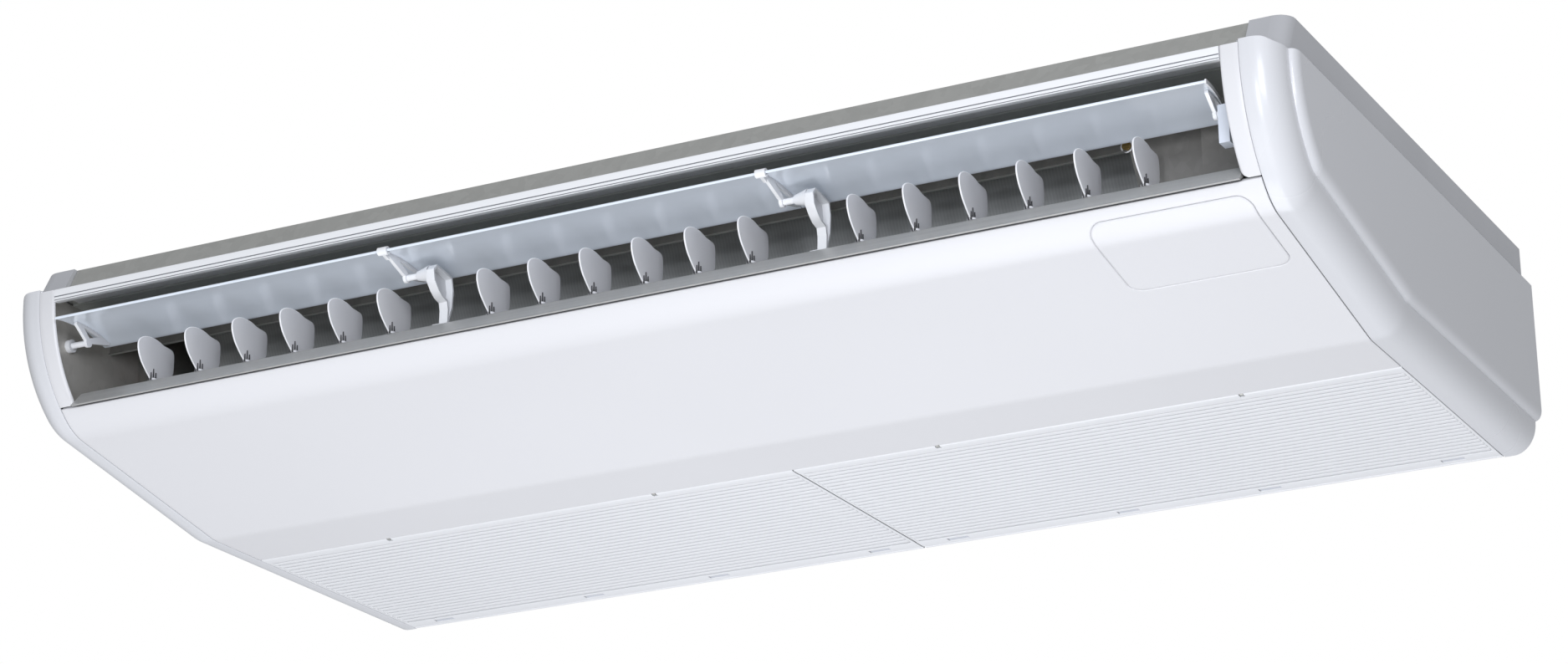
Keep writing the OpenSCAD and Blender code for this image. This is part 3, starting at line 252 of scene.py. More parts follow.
def spread(tree, place, scale, low, high, detail=4.0):
    """A number that wanders between low and high over the surface, for roughness."""
    noise = add_node(tree, "TexNoise", [(place, "Vector")], Scale=scale, Detail=detail)
    return add_node(tree, "MapRange", [(noise.outputs["Fac"], "Value")],
                    **{"From Min": 0.3, "From Max": 0.7, "To Min": low,
                       "To Max": high}).outputs["Result"]


def relief(tree, shader, height, strength, distance):
    """Raises the surface by a height pattern, distance in metres."""
    bump = add_node(tree, "Bump", [(height, "Height")], Strength=strength, Distance=distance)
    tree.links.new(bump.outputs["Normal"], shader.inputs["Normal"])


def moulded_plastic(name, colours, rough, coat=0.0, grain=700.0, grain_depth=0.00001):
    """Injection moulded plastic: even colour with a slow drift, faint flow in its gloss
    and a shallow skin of grain from the tool."""
    material, tree, shader, place = start_finish(name)
    tree.links.new(tone(tree, place, colours, 3.0, 1.0, 0.15, 0.85), shader.inputs["Base Color"])
    tree.links.new(spread(tree, place, 5.0, rough * 0.97, rough * 1.03, 1.0), shader.inputs["Roughness"])
    grains = add_node(tree, "TexNoise", [(place, "Vector")], Scale=grain, Detail=1.0)
    relief(tree, shader, grains.outputs["Fac"], 0.1, grain_depth)
    shader.inputs["Specular IOR Level"].default_value = 0.5
    shader.inputs["Coat Weight"].default_value = coat
    shader.inputs["Coat Roughness"].default_value = 0.1
    return material


def galvanised_steel(name, colours, rough):
    """Hot dipped sheet: dull zinc whose crystals, 6 to 10 mm wide, differ faintly in
    brightness and gloss, under fine rolling lines along the sheet."""
    material, tree, shader, place = start_finish(name)
    cells = add_node(tree, "TexVoronoi", [(place, "Vector")], Scale=120.0)
    facet = add_node(tree, "SeparateColor", [(cells.outputs["Color"], "Color")])
    mixed = add_node(tree, "Mix", [(facet.outputs["Red"], "Factor")], data_type="RGBA")
    mixed.inputs["A"].default_value = linear(colours[0])
    mixed.inputs["B"].default_value = linear(colours[1])
    tree.links.new(mixed.outputs["Result"], shader.inputs["Base Color"])
    gloss = add_node(tree, "MapRange", [(facet.outputs["Green"], "Value")],
                     **{"To Min": rough * 0.9, "To Max": rough * 1.1})
    tree.links.new(gloss.outputs["Result"], shader.inputs["Roughness"])
    long = add_node(tree, "Mapping", [(place, "Vector")], Scale=(6.0, 300.0, 300.0))
    lines = add_node(tree, "TexNoise", [(long.outputs["Vector"], "Vector")], Scale=1.0, Detail=2.0)
    relief(tree, shader, lines.outputs["Fac"], 0.1, 0.00003)
    shader.inputs["Metallic"].default_value = 0.5
    return material


def drawn_metal(name, colours, rough, metallic, stretch=(4.0, 700.0, 700.0)):
    """Extruded or ground metal: streaks along one direction in colour and in gloss."""
    material, tree, shader, place = start_finish(name)
    long = add_node(tree, "Mapping", [(place, "Vector")], Scale=stretch)
    streak = long.outputs["Vector"]
    tree.links.new(tone(tree, streak, colours, 1.0, 4.0), shader.inputs["Base Color"])
    tree.links.new(spread(tree, streak, 1.0, rough * 0.8, rough * 1.2), shader.inputs["Roughness"])
    fine = add_node(tree, "TexNoise", [(streak, "Vector")], Scale=2.0, Detail=3.0)
    relief(tree, shader, fine.outputs["Fac"], 0.2, 0.00003)
    shader.inputs["Metallic"].default_value = metallic
    return material


def sprayed_paint(name, colours, rough, flake=0.0):
    """Powder coat: a soft orange peel of 4 mm swells under an even satin colour, with
    metal flake in it where it is a grey enamel."""
    material, tree, shader, place = start_finish(name)
    tree.links.new(tone(tree, place, colours, 5.0), shader.inputs["Base Color"])
    tree.links.new(spread(tree, place, 30.0, rough * 0.9, rough * 1.1), shader.inputs["Roughness"])
    peel = add_node(tree, "TexNoise", [(place, "Vector")], Scale=250.0, Detail=1.0)
    relief(tree, shader, peel.outputs["Fac"], 0.15, 0.00004)
    shader.inputs["Metallic"].default_value = flake
    return material


def foam_lining(name, colours, rough):
    """Pressed insulation: matte, with a mottled surface of small closed cells."""
    material, tree, shader, place = start_finish(name)
    tree.links.new(tone(tree, place, colours, 14.0, 5.0), shader.inputs["Base Color"])
    tree.links.new(spread(tree, place, 60.0, rough * 0.9, min(1.0, rough * 1.1)),
                   shader.inputs["Roughness"])
    cells = add_node(tree, "TexVoronoi", [(place, "Vector")], Scale=420.0)
    relief(tree, shader, cells.outputs["Distance"], 0.25, 0.00015)
    return material


def fin_pack(name):
    """Aluminium fins on edge, dull with dust: upright lines across the coil, drawn 3.2 mm
    apart so that they show, under a slow drift of dust."""
    material, tree, shader, place = start_finish(name)
    wave = add_node(tree, "TexWave", [(place, "Vector")], bands_direction="X", Scale=98.0)
    dust = add_node(tree, "TexNoise", [(place, "Vector")], Scale=12.0, Detail=3.0)
    half = add_node(tree, "Math", [(dust.outputs["Fac"], 0)], operation="MULTIPLY")
    half.inputs[1].default_value = 0.6
    both = add_node(tree, "Math", [(wave.outputs["Fac"], 0), (half.outputs["Value"], 2)],
                    operation="MULTIPLY_ADD")
    both.inputs[1].default_value = 0.4
    ramp = add_node(tree, "ValToRGB", [(both.outputs["Value"], "Fac")])
    ramp.color_ramp.elements[0].color = linear("#ACAEAD")
    ramp.color_ramp.elements[1].color = linear("#C2C4C3")
    tree.links.new(ramp.outputs["Color"], shader.inputs["Base Color"])
    shader.inputs["Metallic"].default_value = 0.3
    shader.inputs["Roughness"].default_value = 0.5
    return material


def woven_net(name):
    """Filter net: crossing threads 1.2 mm apart, white over a pale ground."""
    material, tree, shader, place = start_finish(name)
    across = add_node(tree, "TexWave", [(place, "Vector")], bands_direction="X", Scale=130.0)
    along = add_node(tree, "TexWave", [(place, "Vector")], bands_direction="Y", Scale=130.0)
    weave = add_node(tree, "Math", [(across.outputs["Fac"], 0), (along.outputs["Fac"], 1)],
                     operation="MAXIMUM")
    ramp = add_node(tree, "ValToRGB", [(weave.outputs["Value"], "Fac")])
    ramp.color_ramp.elements[0].position = 0.4
    ramp.color_ramp.elements[0].color = linear("#B4B8BF")
    ramp.color_ramp.elements[1].color = linear("#D6D9DF")
    tree.links.new(ramp.outputs["Color"], shader.inputs["Base Color"])
    shader.inputs["Roughness"].default_value = 0.7
    return material


def circuit_laminate(name):
    """Green laminate with paler copper tracks under the lacquer."""
    material, tree, shader, place = start_finish(name)
    tracks = add_node(tree, "TexBrick", [(place, "Vector")], Scale=60.0)
    tracks.inputs["Color1"].default_value = linear("#2B6A43")
    tracks.inputs["Color2"].default_value = linear("#33784D")
    tracks.inputs["Mortar"].default_value = linear("#5E9A6A")
    tree.links.new(tracks.outputs["Color"], shader.inputs["Base Color"])
    shader.inputs["Roughness"].default_value = 0.35
    return material


FINISH = {}


def mix_finishes():
    """Makes every finish once, by the name of the record's slot."""
    plastics = {
        "casing_white": (("#DFDFE1", "#E2E2E4"), 0.36, 0.0),
        "grille_white": (("#E9EAEC", "#ECEDEF"), 0.34, 0.0),
        "side_white": (("#DADBDE", "#DDDEE1"), 0.28, 0.15),
        "trim_gloss": (("#F0F1F3", "#F4F5F6"), 0.14, 0.6),
        # groove_painted_shade: the trim's white painted dark grey, as painted shade inside its grooves
        "groove_painted_shade": (("#8B8D92", "#93959A"), 0.4, 0.0),
        "blade_white": (("#E8F0FA", "#ECF3FC"), 0.14, 0.9),
        "vane_grey": (("#D3D3D6", "#D9D9DB"), 0.36, 0.0),
        # vane_rim_painted_highlight: a paler copy of the vane grey, a painted highlight on the vanes' front edges
        "vane_rim_painted_highlight": (("#F2F2F4", "#F7F7F8"), 0.3, 0.0),
        # vane_rib_painted_shade: near black, painted shade streaks on the ribs at each vane's foot
        "vane_rib_painted_shade": (("#3A3A3C", "#464648"), 0.5, 0.0),
        "linkage_grey": (("#8A8B8C", "#929394"), 0.4, 0.0),
        "catch_grey": (("#C6C9D0", "#CCCFD5"), 0.4, 0.0),
        "support_white": (("#E6E7E9", "#ECEDEF"), 0.3, 0.2),
        # the _painted_shade whites are darker copies for the broad sides of the supports and arms: painted shade
        "support_side_painted_shade": (("#BDBEC1", "#C5C6C9"), 0.34, 0.1),
        "arm_white": (("#F1F2F4", "#F5F6F7"), 0.25, 0.3),
        "arm_side_painted_shade": (("#D6D7DA", "#DDDEE1"), 0.3, 0.2),
        "coupler_clear": (("#DDE4EF", "#E5EAF3"), 0.14, 0.5),
        "scroll_plastic": (("#C4C5C7", "#CCCDCF"), 0.5, 0.0),
        "wheel_plastic": (("#E2E3E4", "#E8E9EA"), 0.45, 0.0),
    }
    for name, (colours, rough, coat) in plastics.items():
        FINISH[name] = moulded_plastic(name, colours, rough, coat)
    FINISH["rail_paint"] = sprayed_paint("rail_paint", ("#D2D3D6", "#D8D9DC"), 0.42, 0.45)
    FINISH["galvanised_sheet"] = galvanised_steel("galvanised_sheet", ("#B5B5B0", "#BCBCB7"), 0.5)
    # end_sheet_painted_shade: a darker copy of the zinc, painted shade on the duct's right-hand end plate
    FINISH["end_sheet_painted_shade"] = galvanised_steel("end_sheet_painted_shade", ("#807E7A", "#878581"), 0.5)
    FINISH["wall_sheet"] = galvanised_steel("wall_sheet", ("#B5B2AC", "#BCB9B3"), 0.5)
    # guide_sheet_painted_shade: a darker copy of the zinc, painted shade on the guide sheet's front
    FINISH["guide_sheet_painted_shade"] = galvanised_steel("guide_sheet_painted_shade", ("#72716D", "#7A7975"), 0.5)
    # painted_shadow_strip: a dark foam finish used only as painted shadow, on strips put in joints and gaps
    FINISH["painted_shadow_strip"] = foam_lining("painted_shadow_strip", ("#2B2B2D", "#353537"), 0.9)
    FINISH["duct_lining"] = foam_lining("duct_lining", ("#9FA19D", "#A6A8A3"), 0.7)
    FINISH["lip_silver"] = drawn_metal("lip_silver", ("#B0B0AE", "#BCBCBA"), 0.4, 0.35)
    FINISH["filter_net"] = woven_net("filter_net")
    FINISH["motor_shell"] = sprayed_paint("motor_shell", ("#3A3D40", "#43464A"), 0.4)
    FINISH["shaft_steel"] = drawn_metal("shaft_steel", ("#B2B4B7", "#C2C4C7"), 0.25, 1.0)
    FINISH["fin_aluminium"] = fin_pack("fin_aluminium")
    FINISH["copper_tube"] = drawn_metal("copper_tube", ("#A9673F", "#C07C55"), 0.3, 1.0)
    FINISH["pan_foam"] = foam_lining("pan_foam", ("#E2E2DE", "#ECECE9"), 0.85)
    FINISH["board_green"] = circuit_laminate("board_green")
    FINISH["screw_brass"] = drawn_metal("screw_brass", ("#8F7A4B", "#B89C62"), 0.35, 1.0)


# Meshes


def add_piece(name, points, faces, body, nodes, finish, sharp=32.0, bevel=0.0, wall=0.0,
              extra=(), marks=None, flat=None):
    """Makes a piece from points in millimetres. It rides on its body, stands for its CAD
    nodes, and gets an inward wall and rounded edges where they are asked for. marks gives
    the finish number of each face, and flat a face that is shaded apart from the rest."""
    mesh = bpy.data.meshes.new(name)
    mesh.from_pydata(to_row(points).tolist(), [], [list(map(int, f)) for f in faces])
    for m in (finish,) + tuple(extra):
        mesh.materials.append(FINISH[m])
    if marks is not None:
        mesh.polygons.foreach_set("material_index", np.asarray(marks, np.int32))
    mesh.shade_smooth()
    mesh.set_sharp_from_angle(angle=math.radians(sharp))
    if flat is not None:
        for k in mesh.polygons[flat].loop_indices:
            mesh.edges[mesh.loops[k].edge_index].use_edge_sharp = True
    piece = bpy.data.objects.new(name, mesh)
    bpy.context.scene.collection.objects.link(piece)
    if wall:
        shell = piece.modifiers.new("wall", "SOLIDIFY")
        shell.thickness = wall / 1000.0
        shell.offset = -1.0
    if bevel:
        edge = piece.modifiers.new("edges", "BEVEL")
        edge.width = bevel / 1000.0
        edge.segments = 3
        edge.limit_method = "ANGLE"
        edge.angle_limit = math.radians(sharp)
        edge.harden_normals = True
    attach(piece, body)
    if nodes:
        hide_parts(*nodes)
    return piece


def grid_faces(rows, columns, closed=False, start=0, flip=False):
    """Quads of a grid of rows by columns; closed joins the last column to the first."""
    i, j = np.meshgrid(np.arange(rows - 1), np.arange(columns if closed else columns - 1),
                       indexing="ij")
    k = (j + 1) % columns
    quads = np.stack([i * columns + j, i * columns + k, (i + 1) * columns + k,
                      (i + 1) * columns + j], -1).reshape(-1, 4) + start
    return quads[:, ::-1] if flip else quads


def section_bar(loop, xs):
    """A closed section carried along X through the places xs, with a face on each end.
    loop runs counter-clockwise in y and z as seen from +X."""
    loop = np.asarray(loop, float)
    n = len(loop)
    points = np.concatenate([np.column_stack([np.full(n, x), loop]) for x in xs])
    faces = [list(f) for f in grid_faces(len(xs), n, closed=True)]
    faces.append(list(range(n))[::-1])
    faces.append(list(range((len(xs) - 1) * n, len(xs) * n)))
    return points, faces


def join_parts(parts):
    """Several (points, faces) as one."""
    points, faces, start = [], [], 0
    for p, f in parts:
        points.append(np.asarray(p, float))
        faces.extend([[int(v) + start for v in face] for face in f])
        start += len(p)
    return np.concatenate(points), faces


def round_corners(loop, radii, steps=5):
    """A polygon whose corners are rounded: each corner's arc is a quadratic curve that
    starts and ends at the corner's radius from it along its two sides."""
    loop = np.asarray(loop, float)
    out = []
    for k, (p, r) in enumerate(zip(loop, radii)):
        if r <= 0:
            out.append(p[None])
            continue
        a, b = loop[k - 1] - p, loop[(k + 1) % len(loop)] - p
        la, lb = np.linalg.norm(a), np.linalg.norm(b)
        a, b = p + a / la * min(r, la * 0.49), p + b / lb * min(r, lb * 0.49)
        t = np.linspace(0, 1, steps)[:, None]
        out.append((1 - t) ** 2 * a + 2 * t * (1 - t) * p + t ** 2 * b)
    return np.concatenate(out)


# The casing's section as a table along its length

NOSE_C = np.array([NOSE_R, -NOSE_DROP])
SLOPE_N = math.pi / 2 - SLOPE


def facing(b):
    """Unit vectors out of the casing at the angles b, 0 at the nose and a quarter turn below."""
    b = np.asarray(b, float)
    return np.stack([-np.cos(b), -np.sin(b)], -1)


_d = np.dot(np.array([BEND_Y, -BODY_H]) - NOSE_C, facing(SLOPE_N))
CHIN_B = SLOPE_N - math.acos((_d - CHIN_R) / (NOSE_R - CHIN_R))
CHIN_C = NOSE_C + (NOSE_R - CHIN_R) * facing(CHIN_B)
BEND_C = np.array([BEND_Y + BEND_R * math.tan(SLOPE / 2), BEND_R - BODY_H])
_nose = np.linspace(0, CHIN_B, 160)
_chin = np.linspace(CHIN_B, SLOPE_N, 60)[1:]
_bend = np.linspace(SLOPE_N, math.pi / 2, 24)
SKIN_B = np.concatenate([_nose, _chin, _bend, [math.pi / 2]])
SKIN_P = np.concatenate([NOSE_C + NOSE_R * facing(_nose), CHIN_C + CHIN_R * facing(_chin),
                         BEND_C + BEND_R * facing(_bend), [[BODY_D, -BODY_H]]])
SKIN_S = np.concatenate([[0], np.cumsum(np.linalg.norm(np.diff(SKIN_P, axis=0), axis=1))])


def along_at_y(y):
    """Distance along the section from the nose to where it is y behind it."""
    return np.interp(y, SKIN_P[:, 0], SKIN_S)


def skin(s, depth):
    """Points y, z of the section at distance s along it, depth inside the outer skin."""
    s, depth = np.broadcast_arrays(np.asarray(s, float), np.asarray(depth, float))
    b = np.interp(s, SKIN_S, SKIN_B)
    y = np.interp(s, SKIN_S, SKIN_P[:, 0])
    z = np.interp(s, SKIN_S, SKIN_P[:, 1])
    out = facing(b)
    return np.stack([y - out[..., 0] * depth, z - out[..., 1] * depth], -1)


MOUTH_S = along_at_y(NOSE_R - NOSE_R * math.cos(math.asin((MOUTH_DROP - NOSE_DROP) / NOSE_R)))
CORNER_S = np.unique(np.concatenate([
    np.linspace(0, SKIN_S[159], 34), np.linspace(SKIN_S[159], SKIN_S[218], 16),
    np.linspace(SKIN_S[218], SKIN_S[219], 9), np.linspace(SKIN_S[219], SKIN_S[242], 8),
    np.linspace(SKIN_S[242], SKIN_S[243], 12)]))


def rolled(a, b, inner, r, depth, steps=5):
    """Places from a to b with rounded ends: the surface rises from depth on a quarter
    circle of radius r at each end. Returns the places and how deep each one lies."""
    t = np.linspace(0, math.pi / 2, steps)
    head = r * (1 - np.sin(t[::-1]))
    drop = r * (1 - np.cos(t[::-1]))
    inner = np.asarray([v for v in inner if a + r * 1.2 < v < b - r * 1.2])
    places = np.concatenate([[a], a + r - r * np.cos(t), inner, b - r + r * np.cos(t[::-1]), [b]])
    drops = np.concatenate([[depth], r - r * np.sin(t), inner * 0, r - r * np.sin(t[::-1]), [depth]])
    return places, drops


def side_moulding(side):
    """The end panel. Rings follow the section at x and depth: flat from the seam, then a
    quarter of an ellipse 24 by 30 round the edge, a fine crease, and a quarter of an
    ellipse 7 by 11 up to the raised side face, which closes the last ring. The top edge
    stands 4 mm higher over the front and sinks towards the rear and the round edge.
    The wall goes inwards."""
    t = np.linspace(0, math.pi / 2, 15)
    rings = [(SEAM_X, 2.4), (SEAM_X, 0.6), (SEAM_X + 0.2, 0.15), (SEAM_X + 0.7, 0.0), (SEAM_X + 4, 0.0),
             (CROWN_X - 25, 0.0)]
    rings += [(CROWN_X - 24 * (1 - math.sin(a)), 30 * (1 - math.cos(a))) for a in t]
    rings += [(CROWN_X + 0.1, 30.6), (CROWN_X + 0.25, 31.0)]
    rings += [(CROWN_X + 0.25 + (BAND_W - 0.25) * math.sin(a), 31.0 + BAND_H * (1 - math.cos(a))) for a in t[1:]]
    back = np.array([70.0, 40.0, 24.0, 20.0, 16.0, 12.0, 8.0, 4.0, 0.0]) / 70.0
    columns = len(back) + len(CORNER_S) + 1
    points = []
    for x, d in rings:
        fade = np.clip((x - (CROWN_X - 14)) / 14.0, 0, 1)
        y = d + (70.0 - d) * back
        fall = np.clip(y / 20.0, 0, 1)
        brow = 4.0 * (1 - fall * fall * (3 - 2 * fall)) * (1 - fade * fade * (3 - 2 * fade))
        head = np.column_stack([y, brow - RAIL_H])
        yz = np.concatenate([head, skin(CORNER_S, d), [[BODY_D, -RAIL_H]]])
        points.append(np.column_stack([np.full(columns, side * x), yz]))
    faces = [list(f) for f in grid_faces(len(rings), columns, flip=side < 0)]
    last = list(range((len(rings) - 1) * columns, len(rings) * columns))
    faces.append(last[::-1] if side < 0 else last)
    return np.concatenate(points), faces


def groove_depth(x, y):
    """How deep the front panel lies round the receiver window: a soft step down inside a
    rounded rectangle, by its distance to the outline."""
    hx, hy = (WINDOW[1] - WINDOW[0]) / 2, (WINDOW[3] - WINDOW[2]) / 2
    qx = np.abs(x - (WINDOW[0] + WINDOW[1]) / 2) - hx + WINDOW_R
    qy = np.abs(y - (WINDOW[2] + WINDOW[3]) / 2) - hy + WINDOW_R
    away = np.hypot(np.maximum(qx, 0), np.maximum(qy, 0)) + np.minimum(np.maximum(qx, qy), 0) - WINDOW_R
    t = np.clip((1.3 - away) / 1.6, 0, 1)
    return 2.0 * t * t * (3 - 2 * t)


WINDOW = (455.0, 603.5, 51.0, 155.0)
WINDOW_R = 13.0


def front_sheet():
    """The front panel: the section from the mouth to the grilles, with rolled edges and
    the soft step of the receiver window pressed in."""
    w0, w1 = along_at_y(WINDOW[2] - 4), along_at_y(WINDOW[3] + 4)
    inner = np.concatenate([np.arange(MOUTH_S + 3, w0, 3.0), np.arange(w0, w1, 0.7),
                            np.arange(w1, SKIN_S[219], 12.0), SKIN_S[219:243],
                            np.arange(SKIN_S[242] + 3, along_at_y(PANEL_END), 9.0)])
    s, s_drop = rolled(MOUTH_S + 1.0, along_at_y(PANEL_END), np.sort(inner), 0.8, 5.0)
    inner = np.concatenate([np.arange(-615, WINDOW[0] - 5, 26.0), np.arange(WINDOW[0] - 4, 616.5, 0.7)])
    x, x_drop = rolled(-SEAM_X + JOINT, SEAM_X - JOINT, inner, 0.6, 4.0)
    ss, xx = np.meshgrid(s, x, indexing="ij")
    flat = skin(ss, 0)
    depth = np.maximum(s_drop[:, None], x_drop[None, :]) + groove_depth(xx, flat[..., 0])
    yz = skin(ss, depth)
    return np.concatenate([xx[..., None], yz], -1).reshape(-1, 3), grid_faces(len(s), len(x), flip=True)


def window_cover():
    """The flush cover: rows across a rounded rectangle, each as wide as the outline is
    there, that follow the section and roll down at the rim."""
    x0, x1, y0, y1 = WINDOW
    y, _ = rolled(y0, y1, np.linspace(y0 + 3, y1 - 3, 70), 1.0, 0, 6)
    u, _ = rolled(-1.0, 1.0, np.linspace(-0.95, 0.95, 24), 0.014, 0, 6)
    off = np.minimum(np.minimum(y - y0, y1 - y), WINDOW_R)
    half = (x1 - x0) / 2 - WINDOW_R + np.sqrt(np.maximum(WINDOW_R ** 2 - (WINDOW_R - off) ** 2, 0))
    xx = (x0 + x1) / 2 + u[None, :] * half[:, None]
    yy = np.broadcast_to(y[:, None], xx.shape)
    qx = np.abs(xx - (x0 + x1) / 2) - (x1 - x0) / 2 + WINDOW_R
    qy = np.abs(yy - (y0 + y1) / 2) - (y1 - y0) / 2 + WINDOW_R
    inside = WINDOW_R - np.hypot(np.maximum(qx, 0), np.maximum(qy, 0)) - np.minimum(np.maximum(qx, qy), 0)
    r = 0.9
    roll = np.where(inside < r, r - np.sqrt(np.maximum(r * r - (r - np.clip(inside, 0, r)) ** 2, 0)), 0)
    yz = skin(along_at_y(yy), roll)
    top = np.concatenate([xx[..., None], yz], -1)
    rows, columns = xx.shape
    rim = np.concatenate([np.stack([np.zeros(columns, int), np.arange(columns)], -1),
                          np.stack([np.arange(1, rows), np.full(rows - 1, columns - 1)], -1),
                          np.stack([np.full(columns - 1, rows - 1), np.arange(columns - 2, -1, -1)], -1),
                          np.stack([np.arange(rows - 2, 0, -1), np.zeros(rows - 2, int)], -1)])
    low = np.concatenate([xx[rim[:, 0], rim[:, 1], None], skin(along_at_y(yy[rim[:, 0], rim[:, 1]]), 1.8)], -1)
    faces = [list(f) for f in grid_faces(rows, columns, flip=True)]
    start, n = rows * columns, len(rim)
    edge = rim[:, 0] * columns + rim[:, 1]
    k = np.arange(n)
    faces += np.stack([edge, edge[(k + 1) % n], start + (k + 1) % n, start + k], -1).tolist()
    return np.concatenate([top.reshape(-1, 3), low]), faces


def cheek(side):
    """White band beside the outlet: the section between the trim and the panel, flat at
    the seam and rolled round its inner edge, whose lower corner swings outwards, then
    back in as a wall 3 mm thick."""
    s1 = np.interp(-MOUTH_DROP + 0.9, -np.abs(SKIN_P[:160, 1])[::-1], SKIN_S[:160][::-1])
    s = np.linspace(0, s1, 60)
    z = skin(s, 0)[:, 1]
    corner = np.clip((z - z[-1]) / 6.0, 0, 1)
    swing = (1.5 if side < 0 else 5.0) * (1 - np.sqrt(1 - (1 - corner) ** 2))
    t = np.linspace(0, math.pi / 2, 8)
    place = np.concatenate([[SEAM_X - SEAT] * 2, [SEAM_X - SEAT - 0.2, SEAM_X - SEAT - 0.6, SEAM_X - 5],
                            MOUTH_X + 2.4 - 2.4 * np.sin(t), [MOUTH_X, MOUTH_X + 1.2, MOUTH_X + 8]])
    drop = np.concatenate([[3.0, 0.6], [0.15, 0, 0], 2.4 - 2.4 * np.cos(t), [3.0, 3.4, 3.4]])
    near = np.clip((SEAM_X - 5 - place) / (SEAM_X - 5 - MOUTH_X), 0, 1)
    xx = place[None, :] + swing[:, None] * near[None, :]
    yz = skin(np.broadcast_to(s[:, None], xx.shape), np.broadcast_to(drop[None, :], xx.shape))
    points = np.concatenate([side * xx[..., None], yz], -1)
    head = points[:1].copy()
    head[..., 2] = -RAIL_H + 1.3
    foot = points[-1:].copy()
    foot[..., 1:] = skin(np.full(xx[-1:].shape, s1), np.maximum(drop, 3.4)[None, :])
    points = np.concatenate([head, points, foot])
    return points.reshape(-1, 3), grid_faces(len(s) + 2, len(place), flip=side > 0)


def in_flap(points):
    """The flap's own measures, along its chord and away from its axis, as y and z."""
    p = np.asarray(points, float)
    c, s = math.cos(FLAP_TILT), math.sin(FLAP_TILT)
    return np.stack([PIVOT[0] + c * p[..., 0] - s * p[..., 1],
                     PIVOT[1] + s * p[..., 0] + c * p[..., 1]], -1)


FLAP_MID = FLAP_W / 2 - FLAP_FRONT
FLAP_CN = FLAP_RISE - math.sqrt(FLAP_R ** 2 - FLAP_W ** 2 / 4)


def blade_section():
    """The blade's section: two arcs 2 mm apart, a round rear edge and a bead in front."""
    u = np.linspace(-39.6, FLAP_W - FLAP_FRONT - 1.0, 30)
    under = np.stack([u, FLAP_CN + np.sqrt((FLAP_R - FLAP_T) ** 2 - (u - FLAP_MID) ** 2)], -1)
    over = np.stack([u, FLAP_CN + np.sqrt(FLAP_R ** 2 - (u - FLAP_MID) ** 2)], -1)[::-1]
    a = np.linspace(-1.2, 1.2, 7)
    tip = (under[-1] + over[0]) / 2 + np.stack([np.cos(a), np.sin(a)], -1) * 1.0
    a = np.linspace(math.radians(38), math.radians(322), 20)
    bead = np.array([BEAD_R - FLAP_FRONT, FLAP_RISE - BEAD_R / 2]) + BEAD_R * np.stack([np.cos(a), np.sin(a)], -1)
    return in_flap(np.concatenate([under, tip, over, bead]))


def closed_curve(points, parts):
    """A smooth closed curve through the points: a cubic through each four in turn."""
    p = np.asarray(points, float)
    t = np.linspace(0, 1, parts, endpoint=False)[None, :, None]
    a, b, c, d = (np.roll(p, 1, 0)[:, None], p[:, None], np.roll(p, -1, 0)[:, None],
                  np.roll(p, -2, 0)[:, None])
    q = 0.5 * (2 * b + (c - a) * t + (2 * a - 5 * b + 4 * c - d) * t ** 2
               + (3 * b - a - 3 * c + d) * t ** 3)
    return q.reshape(-1, 2)


VANE_SHARES = np.array([[0.38, 0.01], [0.29, 0.085], [0.19, 0.209], [0.1, 0.343], [0.035, 0.5],
                        [0.005, 0.65], [0.02, 0.79], [0.1, 0.9], [0.235, 0.975], [0.39, 1],
                        [0.54, 0.985], [0.66, 0.945], [0.78, 0.935], [0.885, 0.92], [0.935, 0.84],
                        [0.945, 0.67], [0.94, 0.5], [0.93, 0.38], [0.87, 0.27], [0.72, 0.19],
                        [0.56, 0.02]])


def rod(p, axis, r0, r1, length, steps=24):
    """A round bar from p along an axis, r0 wide at its start and r1 at its end."""
    a = np.linspace(0, 2 * math.pi, steps, endpoint=False)
    ring = np.stack([np.cos(a), np.sin(a)], -1)
    turn = {0: (1, 2), 1: (2, 0), 2: (0, 1)}[axis]
    points = np.zeros((2, steps, 3)) + np.asarray(p, float)
    for k, (r, h) in enumerate(((r0, 0.0), (r1, length))):
        points[k, :, turn[0]] += r * ring[:, 0]
        points[k, :, turn[1]] += r * ring[:, 1]
        points[k, :, axis] += h
    faces = [list(f) for f in grid_faces(2, steps, closed=True)]
    faces.append(list(range(steps))[::-1])
    faces.append(list(range(steps, 2 * steps)))
    return points.reshape(-1, 3), faces


def block(a, b):
    """A box between two corners."""
    (x0, y0, z0), (x1, y1, z1) = a, b
    return section_bar([[y0, z0], [y1, z0], [y1, z1], [y0, z1]], [x0, x1])


